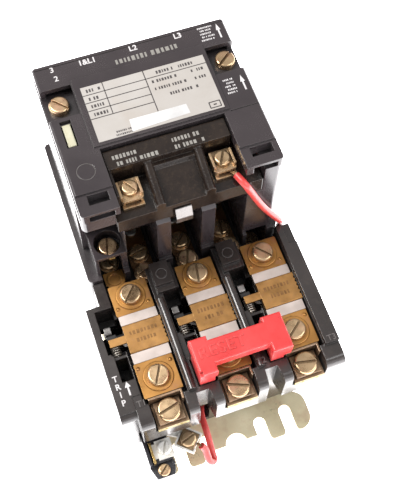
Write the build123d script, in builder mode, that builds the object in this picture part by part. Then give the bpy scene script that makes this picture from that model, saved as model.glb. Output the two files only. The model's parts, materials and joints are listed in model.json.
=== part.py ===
from build123d import *
import math
import os

os.makedirs("parts", exist_ok=True)

# ---------------------------------------------------------------------------
# Three-pole magnetic motor starter: a contactor and a melting-alloy overload
# relay on one steel mounting plate.  Millimetres.  +X across the poles, +Y
# towards the line side, +Z out of the panel.  The back of the plate is Z = 0.
# ---------------------------------------------------------------------------

# overall
PLATE_TOP_Y = 86.0       # line end of the mounting plate
PLATE_T = 2.0            # mounting plate thickness
FRONT_Z = 119.0          # front face of the cover

# contactor
CX = 41.0                # half width of the upper contact block
CY0, CY1 = 2.5, 73.0     # load and line faces of the upper contact block
CYM = (CY0 + CY1) / 2    # middle of the contactor along Y
BASE_X = 43.3            # half width of the lower contact block
BASE_TOP = 49.8          # ledge that the stationary contacts lie on
BLOCK_TOP = 112.0        # parting line between block and cover
POLE_X = (-18.2, 1.1, 20.4)
AUX_X = -32.0
POLE_HALF = 6.7          # half width of a pole chamber
TRAVEL = 4.5             # armature and contact travel
STRIP_T = 1.6            # stationary contact strip
TIP_T = 1.2              # silver contact tip

# magnet
CORE_Z0 = 69.0
CORE_FACE = 98.0
CORE_Y0, CORE_Y1 = CYM - 8.0, CYM + 8.0

# overload relay
OX = 48.3                # half width of the overload housing
OY0, OY1 = -65.7, 0.7    # load and line faces of the overload housing
O_TOP = 58.0             # general top face
O_UNDER = 35.5           # underside of the terminal ledge at the load end
HEAT_X = (-28.1, 2.15, 32.4)
HEAT_HALF = 8.35
SEAT_Z = 55.8            # top of the terminal seats under the heaters
HEAT_T = 1.5
UP_SCREW_Y, LOW_SCREW_Y = -8.7, -46.5
T_SCREW_Y = -60.3
RESET_TRAVEL = 3.5
TRIP_TRAVEL = 4.0
RATCHET_R = 5.5

# fasteners
BOSS = (-31.5, 10.2)                 # access hole over the holding-circuit screw
BASE_SCREW_X = 33.5
BASE_SCREW_Y = (6.6, 69.2)
COVER_SCREWS = ((-34.6, 54.6), (35.6, 54.6))
CONTACT_SCREW_Y = (11.5, 64.0)
LINE_END_Y, LOAD_END_Y = 78.5, -3.0  # outer ends of the stationary contact strips
LOAD_SCREW_Y, LINE_SCREW_Y = 1.2, 74.3
RELAY_SCREWS = ((-38.5, -34.0), (38.5, -34.0))
PLATE_HOLES = ((-30.0, 81.0), (30.0, 81.0))

RESET_SPRING = (5.0, -48.6)

# control wire
WIRE_D = 3.0


def block(x0, x1, y0, y1, z0, z1, mode=Mode.ADD):
    """A rectangular block between two corners, in the active part."""
    with Locations(((x0 + x1) / 2, (y0 + y1) / 2, (z0 + z1) / 2)):
        Box(abs(x1 - x0), abs(y1 - y0), abs(z1 - z0), mode=mode)


def make_screw(head_r, head_h, shank_r, shank_len, slot_w=1.1, slot_d=1.3, washer_r=0.0, washer_t=0.0):
    """Slotted pan-head screw, its seat at Z = 0 and its shank downwards."""
    with BuildPart() as screw:
        with BuildSketch(Plane.XY):
            Circle(shank_r)
        extrude(amount=-shank_len)
        if washer_t > 0:
            with BuildSketch(Plane.XY):
                Circle(washer_r)
            extrude(amount=washer_t)
        with BuildSketch(Plane.XY.offset(washer_t)):
            Circle(head_r)
        extrude(amount=head_h)
        fillet(screw.edges().filter_by(GeomType.CIRCLE).sort_by(Axis.Z)[-1], radius=min(1.0, head_h * 0.42))
        chamfer(screw.edges().filter_by(GeomType.CIRCLE).sort_by(Axis.Z)[0], length=shank_r * 0.3)
        with BuildSketch(Plane.XY.offset(washer_t + head_h)):
            Rectangle(2 * head_r + 1, slot_w)
        extrude(amount=-slot_d, mode=Mode.SUBTRACT)
    return screw.part


def make_spring(radius, wire_r, length, turns):
    """Compression spring standing on Z = 0, coiled about the Z axis."""
    with BuildPart() as spring:
        with BuildLine() as path:
            Helix(pitch=(length - 2 * wire_r) / turns, height=length - 2 * wire_r, radius=radius)
        with BuildSketch(Plane(origin=path.line @ 0, z_dir=path.line % 0)):
            Circle(wire_r)
        sweep()
    return spring.part.moved(Location((0, 0, wire_r)))


# ---------------------------------------------------------------------------
# mounting plate
# ---------------------------------------------------------------------------
SLOT_X = (13.2, 26.3)
with BuildPart() as mounting_plate:
    with BuildSketch(Plane.XY):
        with BuildLine():
            Polyline((-37.5, -75.8), (37.5, -75.8), (37.5, -57.4), (30.0, -57.4), (30.0, -55.4), (43, -55.4), (43, 71), (38.5, 75.5),
                     (38.5, PLATE_TOP_Y), (-38.5, PLATE_TOP_Y), (-38.5, 75.5), (-43, 71), (-43, -55.4), (-30.0, -55.4), (-30.0, -57.4),
                     (-37.5, -57.4), close=True)
        make_face()
        fillet([v for v in vertices() if v.Y < -75 or v.Y > 85 or (v.Y < -57 and abs(v.X) > 37)], radius=6.2)
        # the lobes beside the centre notch stop short
        with Locations((0.2, -75.0)):
            Rectangle(21.0, 6.4, mode=Mode.SUBTRACT)
        # load end: open slots on both sides of a wide centre notch
        with Locations((0.2, -72.6)):
            Circle(5.1, mode=Mode.SUBTRACT)
        with Locations((0.2, -76.6)):
            Rectangle(10.2, 8, mode=Mode.SUBTRACT)
        for sx in SLOT_X:
            for s in (-1, 1):
                top = -64.0 if sx < 20 else -62.4
                with Locations((s * sx + 0.2, top - 2.8)):
                    Circle(2.8, mode=Mode.SUBTRACT)
                with Locations((s * sx + 0.2, (top - 2.8 - 77) / 2)):
                    Rectangle(5.6, 77 + top - 2.8, mode=Mode.SUBTRACT)
        # line end: two round screw holes and a centre notch
        with Locations(*PLATE_HOLES):
            Circle(2.7, mode=Mode.SUBTRACT)
        with Locations((0, 82.0)):
            Circle(3.4, mode=Mode.SUBTRACT)
        with Locations((0, 86)):
            Rectangle(6.8, 8.0, mode=Mode.SUBTRACT)
        # tapped holes for the screws that hold the two mouldings
        with Locations(*[(BASE_SCREW_X, y) for y in BASE_SCREW_Y]):
            Circle(2.05, mode=Mode.SUBTRACT)
        with Locations(*RELAY_SCREWS):
            Circle(2.05, mode=Mode.SUBTRACT)
    extrude(amount=PLATE_T)
    fillet(mounting_plate.edges().filter_by(Axis.Z).group_by(Axis.Y)[0], radius=1.9)
mounting_plate.part.label = "mounting_plate"
export_step(mounting_plate.part, "parts/mounting_plate.step")

# ---------------------------------------------------------------------------
# contact block: one deep phenolic moulding with pole chambers open at both
# ends, a magnet well open at the front, and shafts for the carrier arms
# ---------------------------------------------------------------------------
with BuildPart() as contact_block:
    block(-BASE_X, BASE_X, 1.2, 74.3, PLATE_T, 60)
    block(-CX, CX, CY0, CY1, 60, BLOCK_TOP)
    fillet(contact_block.edges().filter_by(Axis.Z), radius=2.2)
    # magnet well, coil deck and the room for the armature
    block(-31.5, 31.5, 19.5, 56.0, CORE_Z0, BLOCK_TOP + 1, mode=Mode.SUBTRACT)
    block(-27.6, 33.6, CY0 - 2, 20.0, 96.0, BLOCK_TOP + 1, mode=Mode.SUBTRACT)
    # carrier arms' shafts and the crossbar's slot
    for s in (-1, 1):
        block(s * 31.0, s * 38.2, 31.0, 44.5, 30.0, BLOCK_TOP + 1, mode=Mode.SUBTRACT)
    block(-38.2, 38.2, 33.4, 42.1, 51.0, CORE_Z0 + 0.5, mode=Mode.SUBTRACT)
    # pole chambers, open at the load end and at the line end
    for px in POLE_X:
        block(px - POLE_HALF, px + POLE_HALF, 0, 76, BASE_TOP, CORE_Z0 - 3, mode=Mode.SUBTRACT)
        block(px - POLE_HALF, px + POLE_HALF, 0, 17.0, BASE_TOP, 96.5, mode=Mode.SUBTRACT)
        block(px - POLE_HALF, px + POLE_HALF, 58.5, 76, BASE_TOP, 99, mode=Mode.SUBTRACT)
    # holding-contact chamber on the left
    block(AUX_X - 5.2, AUX_X + 4.6, 0, 76, BASE_TOP, 58.5, mode=Mode.SUBTRACT)
    block(AUX_X - 5.2, AUX_X + 4.6, 14.5, 61.0, 58.0, CORE_Z0 - 3, mode=Mode.SUBTRACT)
    # open corner over the left boss, right corner recess under the end wall
    block(-BASE_X - 1, -25.0, 0, 17.5, 75.0, 104.4, mode=Mode.SUBTRACT)
    block(-BASE_X - 1, -22.4, 0, 3.6, 60.0, 75.5, mode=Mode.SUBTRACT)
    block(-BASE_X - 1, -38.6, 0, 17.5, 60.0, 75.5, mode=Mode.SUBTRACT)
    block(28.8, 38.2, 0, 12.0, 40.0, 61.0, mode=Mode.SUBTRACT)
    block(28.8, 38.2, 63.5, 76.0, 40.0, 61.0, mode=Mode.SUBTRACT)
    block(24.5, 42.5, CY1 - 14, CY1 + 4, 75.0, 104.4, mode=Mode.SUBTRACT)
    # tapered front of the partitions between the poles
    for x0, x1 in ((-11.5, -5.6), (7.8, 13.7)):
        with BuildSketch(Plane.YZ.offset(x0 - 0.05)):
            with BuildLine():
                Polyline((CY0 - 0.1, 97.0), (CY0 + 3.6, 97.0), (CY0 - 0.1, 92.5), close=True)
            make_face()
        extrude(amount=x1 - x0 + 0.1, mode=Mode.SUBTRACT)
    # the boss over the holding contact, and its screw hole
    block(AUX_X - 5.2, AUX_X + 4.6, 0, 14.6, BASE_TOP, 66.2, mode=Mode.SUBTRACT)
    with BuildSketch(Plane.YZ.offset(AUX_X - 5.2)):
        with BuildLine():
            Polyline((0, 73.2), (3.65, 73.2), (9.0, 66.2), (9.0, 64.0), (0, 64.0), close=True)
        make_face()
    extrude(amount=9.8, mode=Mode.SUBTRACT)
    with Locations((BOSS[0], BOSS[1], 76)):
        Cylinder(5.7, 7.3, align=(Align.CENTER, Align.CENTER, Align.MAX), mode=Mode.SUBTRACT)
    with Locations((BOSS[0], BOSS[1], 70)):
        Cylinder(1.9, 11.0, align=(Align.CENTER, Align.CENTER, Align.MAX), mode=Mode.SUBTRACT)
    # screws to the mounting plate, in the two right-hand corner recesses
    for y in BASE_SCREW_Y:
        with Locations((BASE_SCREW_X, y, 45)):
            Cylinder(2.15, 46.0, align=(Align.CENTER, Align.CENTER, Align.MAX), mode=Mode.SUBTRACT)
    # threaded holes for the cover screws and for the contact screws
    for x, y in COVER_SCREWS:
        with Locations((x, y, BLOCK_TOP + 1)):
            Cylinder(1.85, 17.0, align=(Align.CENTER, Align.CENTER, Align.MAX), mode=Mode.SUBTRACT)
    for px in POLE_X + (AUX_X,):
        for y in CONTACT_SCREW_Y:
            with Locations((px, y, BASE_TOP + 1)):
                Cylinder(1.65, 9.0, align=(Align.CENTER, Align.CENTER, Align.MAX), mode=Mode.SUBTRACT)
    for px in POLE_X:
        for y in (LOAD_SCREW_Y, LINE_SCREW_Y):
            with Locations((px, y, BASE_TOP + 1)):
                Cylinder(1.65, 9.0, align=(Align.CENTER, Align.CENTER, Align.MAX), mode=Mode.SUBTRACT)
# the boss is kept as a piece of its own, flush against the rest of the block,
# so that its round access hole stays open in collision
BOSS_CUT = (-BASE_X - 1, POLE_X[0] - POLE_HALF, -1.0, 17.5, 66.2, 75.0)
with BuildPart() as block_boss:
    add(contact_block.part)
    block(*BOSS_CUT, mode=Mode.INTERSECT)
print("block boss", block_boss.part.volume, len(block_boss.part.solids()))
block_boss.part.label = "block_boss"
export_step(block_boss.part, "parts/block_boss.step")
with contact_block:
    block(*BOSS_CUT, mode=Mode.SUBTRACT)
print("contact block", contact_block.part.volume, len(contact_block.part.solids()))
contact_block.part.label = "contact_block"
export_step(contact_block.part, "parts/contact_block.step")

# ---------------------------------------------------------------------------
# stationary contacts, one strip per pole at each end, with silver tips
# ---------------------------------------------------------------------------


def contact_strips(y_in, y_out, y_screw):
    with BuildPart() as strips:
        with BuildSketch(Plane.XY.offset(BASE_TOP)):
            for px in POLE_X:
                with Locations((px, (y_in + y_out) / 2)):
                    Rectangle(9.6, abs(y_out - y_in))
                with Locations((px, y_screw), (px, y_screw + (10.3 if y_out < 0 else -10.3))):
                    Circle(1.65, mode=Mode.SUBTRACT)
        extrude(amount=STRIP_T)
        fillet(strips.edges().filter_by(Axis.Z).group_by(Axis.Y)[0 if y_out < 0 else -1], radius=1.2)
    return strips.part


load_strips = contact_strips(27.0, LOAD_END_Y, LOAD_SCREW_Y)
line_strips = contact_strips(2 * CYM - 27.0, LINE_END_Y, LINE_SCREW_Y)
with BuildPart() as stationary_contacts:
    add(load_strips)
    add(line_strips)
stationary_contacts.part.label = "stationary_contacts"
export_step(stationary_contacts.part, "parts/stationary_contacts.step")

with BuildPart() as holding_contacts:
    with BuildSketch(Plane.XY.offset(BASE_TOP)):
        with Locations((AUX_X, 14.2), (AUX_X, 2 * CYM - 14.2)):
            Rectangle(6.6, 25.6)
        with Locations((AUX_X, CONTACT_SCREW_Y[0]), (AUX_X, CONTACT_SCREW_Y[1])):
            Circle(1.65, mode=Mode.SUBTRACT)
    extrude(amount=STRIP_T)
holding_contacts.part.label = "holding_contacts"
export_step(holding_contacts.part, "parts/holding_contacts.step")

TIP_Y = (23.5, 2 * CYM - 23.5)
with BuildPart() as stationary_tips:
    for px in POLE_X + (AUX_X,):
        for ty in TIP_Y:
            with Locations((px, ty, BASE_TOP + STRIP_T)):
                Cylinder(2.6 if px > -25 else 2.0, TIP_T, align=(Align.CENTER, Align.CENTER, Align.MIN))
    fillet(stationary_tips.edges().filter_by(GeomType.CIRCLE).group_by(Axis.Z)[-1], radius=0.35)
stationary_tips.part.label = "stationary_tips"
export_step(stationary_tips.part, "parts/stationary_tips.step")

# screws of the contact block: inner ones hold the strips, outer ones are terminals
small_screw = make_screw(4.0, 2.5, 1.6, 8.0, washer_r=4.6, washer_t=0.5)
with BuildPart() as contact_screws:
    for i, px in enumerate(POLE_X + (AUX_X,)):
        for j, y in enumerate(CONTACT_SCREW_Y):
            with Locations(Location((px, y, BASE_TOP + STRIP_T), (0, 0, 35 * i + 70 * j + 10))):
                add(small_screw)
contact_screws.part.label = "contact_screws"
export_step(contact_screws.part, "parts/contact_screws.step")

STRAP_Z = BASE_TOP + STRIP_T
STRAP_T = 1.5
terminal_screw = make_screw(4.15, 2.2, 1.6, 6.0, washer_r=4.9, washer_t=0.6)
with BuildPart() as terminal_screws:
    for i, px in enumerate(POLE_X):
        with Locations(Location((px, LOAD_SCREW_Y, STRAP_Z + STRAP_T), (0, 0, 20 + 50 * i)),
                       Location((px, LINE_SCREW_Y, STRAP_Z + STRAP_T + 0.6), (0, 0, 60 - 40 * i))):
            add(terminal_screw)
terminal_screws.part.label = "terminal_screws"
export_step(terminal_screws.part, "parts/terminal_screws.step")

# pressure plates that clamp the wires at the line and load terminals, and the
# rounded one of the holding circuit under the boss
with BuildPart() as wire_clamps:
    for px in POLE_X:
        block(px - 4.6, px + 4.6, LINE_SCREW_Y - 4.2, LINE_SCREW_Y + 4.0, STRAP_Z, STRAP_Z + 2.1)
        block(px - 3.1, px + 3.1, LINE_SCREW_Y - 4.3, LINE_SCREW_Y + 4.1, STRAP_Z - 0.1, STRAP_Z + 0.8, mode=Mode.SUBTRACT)
        with Locations((px, LINE_SCREW_Y, STRAP_Z)):
            Cylinder(1.65, 6.0, mode=Mode.SUBTRACT)
    for hx in HEAT_X:
        block(hx - 5.6, hx + 5.6, T_SCREW_Y - 4.8, T_SCREW_Y + 4.8, 50.3, 52.3)
        block(hx - 4.0, hx + 4.0, T_SCREW_Y - 5, T_SCREW_Y + 5, 50.2, 51.1, mode=Mode.SUBTRACT)
        with Locations((hx, T_SCREW_Y, 50)):
            Cylinder(1.65, 14, mode=Mode.SUBTRACT)
    with BuildSketch(Plane.XY.offset(STRAP_Z)):
        with Locations((AUX_X + 0.1, 4.4)):
            Rectangle(8.8, 4.2)
        with Locations((AUX_X + 0.1, 2.3)):
            Circle(4.4)
    extrude(amount=1.5)
    with BuildSketch(Plane.XY.offset(STRAP_Z + 1.5)):
        with Locations((AUX_X + 0.1, 2.8)):
            Circle(3.2)
            Circle(2.3, mode=Mode.SUBTRACT)
    extrude(amount=0.5)
wire_clamps.part.label = "wire_clamps"
export_step(wire_clamps.part, "parts/wire_clamps.step")

# screw and lug in the bottom of the boss
with BuildPart() as boss_lug:
    with BuildSketch(Plane.XY.offset(68.7)):
        with Locations(BOSS):
            Circle(4.6)
            Circle(1.9, mode=Mode.SUBTRACT)
        with Locations((BOSS[0] + 0.4, BOSS[1] - 4.0)):
            Rectangle(2.6, 2.6)
    extrude(amount=0.9)
boss_lug.part.label = "boss_lug"
export_step(boss_lug.part, "parts/boss_lug.step")
boss_proto = make_screw(4.2, 2.4, 1.85, 3.2, slot_w=1.1, slot_d=1.3)
with BuildPart() as boss_screw:
    with Locations(Location((BOSS[0], BOSS[1], 69.6), (0, 0, 75))):
        add(boss_proto)
boss_screw.part.label = "boss_screw"
export_step(boss_screw.part, "parts/boss_screw.step")

# long screws through the block into the plate, and the relay's screws
with BuildPart() as base_screws:
    long_proto_len = 40.0
    for i, y in enumerate(BASE_SCREW_Y):
        with Locations(Location((BASE_SCREW_X, y, 40.0), (0, 0, 30 + 70 * i))):
            add(make_screw(3.9, 2.6, 2.0, long_proto_len - 0.2))
base_screws.part.label = "base_screws"
export_step(base_screws.part, "parts/base_screws.step")

# ---------------------------------------------------------------------------
# moving assembly: carrier, bridges, springs, armature, indicator
# ---------------------------------------------------------------------------
BAR_Z0, BAR_Z1 = 55.8, 67.0
BRIDGE_Z = BASE_TOP + STRIP_T + TIP_T + TRAVEL + 0.1 + TIP_T   # underside of the bridge bars
with BuildPart() as contact_carrier:
    block(-37.6, 37.6, 34.0, 41.5, BAR_Z0, BAR_Z1)
    for s in (-1, 1):
        block(s * 34.2, s * 37.6, 31.6, 43.9, BAR_Z0, 111.0)
    for px in POLE_X:
        block(px - 4.3, px + 4.3, 33, 43, BRIDGE_Z, BAR_Z1 - 1.6, mode=Mode.SUBTRACT)
    block(AUX_X - 1.9, AUX_X + 3.6, 33, 43, BRIDGE_Z, BAR_Z1 - 1.6, mode=Mode.SUBTRACT)
    with Locations(Location((0, CYM, 106.7), (0, 90, 0))):
        Cylinder(2.02, 90, mode=Mode.SUBTRACT)
    # cups over the return springs
    for s in (-1, 1):
        with Locations((s * 35.9 - s * 0.2, CYM, BAR_Z0)):
            Cylinder(1.2, 4.0, mode=Mode.SUBTRACT)
contact_carrier.part.label = "contact_carrier"
export_step(contact_carrier.part, "parts/contact_carrier.step")

with BuildPart() as contact_bridges:
    for px, w in [(p, 7.6) for p in POLE_X] + [(AUX_X + 0.85, 4.6)]:
        block(px - w / 2, px + w / 2, TIP_Y[0] - 2.9, TIP_Y[1] + 2.9, BRIDGE_Z, BRIDGE_Z + 1.6)
        for ty in TIP_Y:
            with Locations((px if w > 5 else AUX_X + 0.6, ty, BRIDGE_Z)):
                Cylinder(2.5 if w > 5 else 1.9, TIP_T, align=(Align.CENTER, Align.CENTER, Align.MAX))
contact_bridges.part.label = "contact_bridges"
export_step(contact_bridges.part, "parts/contact_bridges.step")

bridge_spring = make_spring(2.0, 0.35, BAR_Z1 - 1.6 - BRIDGE_Z - 1.6, 3.5)
with BuildPart() as contact_springs:
    for px in POLE_X + (AUX_X + 0.85,):
        with Locations((px, CYM, BRIDGE_Z + 1.6)):
            add(bridge_spring)
contact_springs.part.label = "contact_springs"
export_step(contact_springs.part, "parts/contact_springs.step")

with BuildPart() as armature:
    block(-30.6, 30.6, CYM - 7.6, CYM + 7.6, CORE_FACE + TRAVEL + 0.2, 110.8)
    fillet(armature.edges().filter_by(Axis.Y), radius=0.8)
    with Locations(Location((0, CYM, 106.7), (0, 90, 0))):
        Cylinder(2.02, 90, mode=Mode.SUBTRACT)
armature.part.label = "armature"
export_step(armature.part, "parts/armature.step")

with BuildPart() as armature_pin:
    with BuildSketch(Plane.YZ.offset(-37.4)):
        with Locations((CYM, 106.7)):
            Circle(2.0)
    extrude(amount=74.8)
    chamfer(armature_pin.edges().filter_by(GeomType.CIRCLE), length=0.4)
armature_pin.part.label = "armature_pin"
export_step(armature_pin.part, "parts/armature_pin.step")

IND_X, IND_Y = -34.75, 38.6
with BuildPart() as indicator:
    block(IND_X - 1.75, IND_X + 1.75, IND_Y - 5.2, IND_Y + 5.2, 111.0, 117.3)
    fillet(indicator.edges().group_by(Axis.Z)[-1], radius=0.4)
indicator.part.label = "indicator"
export_step(indicator.part, "parts/indicator.step")

with BuildPart() as return_springs:
    rs = make_spring(1.75, 0.3, BAR_Z0 - 30.0, 9)
    for s in (-1, 1):
        with Locations((s * 35.7, CYM, 30.0)):
            add(rs)
return_springs.part.label = "return_springs"
export_step(return_springs.part, "parts/return_springs.step")

# ---------------------------------------------------------------------------
# magnet and coil
# ---------------------------------------------------------------------------
with BuildPart() as magnet_core:
    with BuildSketch(Plane.XZ.offset(-CORE_Y1)):
        with BuildLine():
            Polyline((-30.8, CORE_Z0 + 1), (30.8, CORE_Z0 + 1), (30.8, CORE_FACE), (24.0, CORE_FACE), (24.0, 77.5),
                     (7.2, 77.5), (7.2, CORE_FACE - 0.15), (-7.2, CORE_FACE - 0.15), (-7.2, 77.5), (-24.0, 77.5),
                     (-24.0, CORE_FACE), (-30.8, CORE_FACE), close=True)
        make_face()
        for x in (-27.4, 27.4):
            with Locations((x, CORE_FACE - 1.0)):
                Rectangle(1.8, 2.2, mode=Mode.SUBTRACT)
    extrude(amount=CORE_Y1 - CORE_Y0)
magnet_core.part.label = "magnet_core"
export_step(magnet_core.part, "parts/magnet_core.step")

# copper shading rings let into the outer pole faces
with BuildPart() as shading_rings:
    for s in (-1, 1):
        block(s * 27.4 - 0.85, s * 27.4 + 0.85, CORE_Y0 - 1.8, CORE_Y1 + 1.8, CORE_FACE - 2.0, CORE_FACE - 0.3)
        block(s * 27.4 + s * 0.85, s * 31.3, CORE_Y0 - 1.8, CORE_Y0 - 0.1, CORE_FACE - 2.0, CORE_FACE - 0.3)
        block(s * 27.4 + s * 0.85, s * 31.3, CORE_Y1 + 0.1, CORE_Y1 + 1.8, CORE_FACE - 2.0, CORE_FACE - 0.3)
shading_rings.part.label = "shading_rings"
export_step(shading_rings.part, "parts/shading_rings.step")

with BuildPart() as magnet_pad:
    block(-30.5, 30.5, CORE_Y0 + 0.5, CORE_Y1 - 0.5, CORE_Z0, CORE_Z0 + 1.0)
magnet_pad.part.label = "magnet_pad"
export_step(magnet_pad.part, "parts/magnet_pad.step")

# encapsulated coil: a ring around the middle leg, and a terminal deck at the load end
DECK_Z = 105.0
BAND_Z = 116.3
RIB_X = (-9.2, 11.4)
with BuildPart() as coil_body:
    block(-23.6, 23.6, 22.0, 54.0, 78.0, 97.2)
    fillet(coil_body.edges().filter_by(Axis.Z), radius=3.0)
    block(-7.5, 7.5, CORE_Y0 - 0.3, CORE_Y1 + 0.3, 77, 98, mode=Mode.SUBTRACT)
    block(-27.2, 33.2, CY0, 19.8, 96.6, DECK_Z)
    block(-27.2, 31.2, 19.8, 27.6, 96.6, DECK_Z)
    block(-25.0, 25.0, 19.4, 27.6, DECK_Z, BAND_Z)
    # side cheeks beside the clamps
    block(-25.0, -24.0, 8.2, 19.4, DECK_Z, BAND_Z - 1.5)
    # sloped pocket floor between the ribs
    with BuildSketch(Plane.YZ.offset(RIB_X[0])):
        with BuildLine():
            Polyline((CY0, DECK_Z), (19.4, DECK_Z), (19.4, 112.6), (17.6, 112.6), (17.0, 110.2), (4.6, 105.9), (CY0, 105.6), close=True)
        make_face()
    extrude(amount=RIB_X[1] - RIB_X[0])
    # rounded ribs, two steps each
    for rx in RIB_X:
        with BuildSketch(Plane.YZ.offset(rx - 1.9)):
            with BuildLine():
                Polyline((CY0, DECK_Z), (19.4, DECK_Z), (19.4, BAND_Z - 1.8), (CY0, 109.4), close=True)
            make_face()
        extrude(amount=3.8)
    fillet(coil_body.edges().filter_by(lambda e: e.center().Z > 109.5 and e.center().Y < 19.2 and abs(e.length - ((16.9) ** 2 + (5.1) ** 2) ** 0.5) < 0.8), radius=1.5)
coil_body.part.label = "coil_body"
print("coil", coil_body.part.volume, coil_body.part.is_valid)
export_step(coil_body.part, "parts/coil_body.step")

# coil terminals: a post plate on the deck, a saddle clamp and its screw
COIL_T = ((-19.0, 12.8, -18), (19.6, 13.6, -22))
with BuildPart() as coil_terminals:
    for x, y, a in COIL_T:
        block(x - 4.4, x + 4.4, y - 6.4, y + 4.6, DECK_Z, DECK_Z + 1.4)
coil_terminals.part.label = "coil_terminals"
export_step(coil_terminals.part, "parts/coil_terminals.step")

with BuildPart() as coil_clamps:
    for x, y, a in COIL_T:
        with BuildSketch(Plane.XY.offset(DECK_Z + 1.4)):
            with Locations((x, y - 0.3)):
                RectangleRounded(9.2, 9.6, 1.2)
        extrude(amount=3.0)
        block(x - 3.2, x + 3.2, y - 6, y + 6, DECK_Z + 1.3, DECK_Z + 3.0, mode=Mode.SUBTRACT)
        # upturned edges beside the screw
        block(x - 4.6, x - 3.7, y - 3.8, y + 3.4, DECK_Z + 4.3, DECK_Z + 6.2)
        block(x + 3.7, x + 4.6, y - 3.8, y + 3.4, DECK_Z + 4.3, DECK_Z + 6.2)
        with Locations((x, y, DECK_Z)):
            Cylinder(1.85, 12.0, mode=Mode.SUBTRACT)
coil_clamps.part.label = "coil_clamps"
export_step(coil_clamps.part, "parts/coil_clamps.step")

coil_screw = make_screw(3.35, 2.3, 1.8, 3.0, slot_w=1.0, slot_d=1.3)
with BuildPart() as coil_screws:
    for (x, y, a), rot in zip(COIL_T, (-58, 62)):
        with Locations(Location((x, y, DECK_Z + 4.4), (0, 0, rot))):
            add(coil_screw)
coil_screws.part.label = "coil_screws"
export_step(coil_screws.part, "parts/coil_screws.step")

# bright spring clip that latches the coil to the block
with BuildPart() as coil_clip:
    with BuildSketch(Plane.YZ.offset(-3.9)):
        with BuildLine():
            pts = [(CY0 - 0.4, 98.0), (CY0 - 0.4, 102.0), (CY0 - 2.3, 97.6), (CY0 - 2.5, 95.0), (CY0 - 1.2, 92.8)]
            Polyline(*pts)
            offset(amount=0.35)
        make_face()
    extrude(amount=6.8)
coil_clip.part.label = "coil_clip"
print("clip", coil_clip.part.volume, coil_clip.part.is_valid)
export_step(coil_clip.part, "parts/coil_clip.step")

# ---------------------------------------------------------------------------
# front cover
# ---------------------------------------------------------------------------
with BuildPart() as front_cover:
    block(-40.7, 40.9, 2.3, 73.2, BLOCK_TOP, 118.3)
    fillet(front_cover.edges().filter_by(Axis.Z), radius=1.3)
    chamfer(front_cover.edges().group_by(Axis.Z)[-1], length=0.7)
    # hollow behind the face
    block(-38.4, 38.6, 29.6, 71.0, BLOCK_TOP - 1, 116.0, mode=Mode.SUBTRACT)
    # raised label panel, and the lower step at the load end
    block(-27.4, 28.2, 29.4, 62.2, 118.2, FRONT_Z)
    block(-40.8, 41.0, 2.2, 11.4, 117.5, 119.5, mode=Mode.SUBTRACT)
    # fine step lines across the face
    block(-40.8, 41.0, 71.0, 71.3, 117.9, 119.5, mode=Mode.SUBTRACT)
    block(28.2, 41.0, 28.4, 28.7, 117.9, 119.5, mode=Mode.SUBTRACT)
    # notch over the coil
    block(-25.5, 25.6, 2.0, 28.4, BLOCK_TOP - 1, 120, mode=Mode.SUBTRACT)
    # screw recesses at both sides, with floors that the screws clamp on
    block(-41, -27.8, 46.4, 60.8, 113.4, 120, mode=Mode.SUBTRACT)
    block(28.6, 41.2, 46.6, 60.4, 113.4, 120, mode=Mode.SUBTRACT)
    block(-40.7, -27.0, 45.6, 61.6, BLOCK_TOP, 113.4)
    block(27.8, 40.9, 45.8, 61.2, BLOCK_TOP, 113.4)
    for x, y in COVER_SCREWS:
        with Locations((x, y, BLOCK_TOP)):
            Cylinder(1.9, 10, mode=Mode.SUBTRACT)
    # indicator slot
    block(IND_X - 2.2, IND_X + 2.2, IND_Y - 6.1, IND_Y + 6.3, 110, 120, mode=Mode.SUBTRACT)
    # rectangular pockets at the load end
    block(-36.1, -28.0, 6.4, 10.6, 110, 120, mode=Mode.SUBTRACT)
    block(29.4, 38.4, 6.4, 10.6, 110, 120, mode=Mode.SUBTRACT)
    # openings in the load face of both feet
    block(-37.5, -27.5, 1.5, 9.0, BLOCK_TOP - 1, 116.0, mode=Mode.SUBTRACT)
    block(28.5, 38.5, 1.5, 9.0, BLOCK_TOP - 1, 116.0, mode=Mode.SUBTRACT)
    # round moulding mark
    with BuildSketch(Plane.XY.offset(118.3)):
        with Locations((-33.3, 20.4)):
            Circle(3.7)
            Circle(3.4, mode=Mode.SUBTRACT)
    extrude(amount=-0.3, mode=Mode.SUBTRACT)
front_cover.part.label = "front_cover"
print("cover", front_cover.part.volume, front_cover.part.is_valid, len(front_cover.part.solids()))
export_step(front_cover.part, "parts/front_cover.step")

cover_screw = make_screw(4.1, 2.9, 1.8, 14.5, slot_w=1.15, slot_d=1.4)
with BuildPart() as cover_screws:
    for (x, y), rot in zip(COVER_SCREWS, (-46, 38)):
        with Locations(Location((x, y, 113.4), (0, 0, rot))):
            add(cover_screw)
cover_screws.part.label = "cover_screws"
export_step(cover_screws.part, "parts/cover_screws.step")

with BuildPart() as nameplate:
    block(-24.9, 26.6, 30.6, 57.0, FRONT_Z, FRONT_Z + 0.25)
nameplate.part.label = "nameplate"
export_step(nameplate.part, "parts/nameplate.step")

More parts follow.
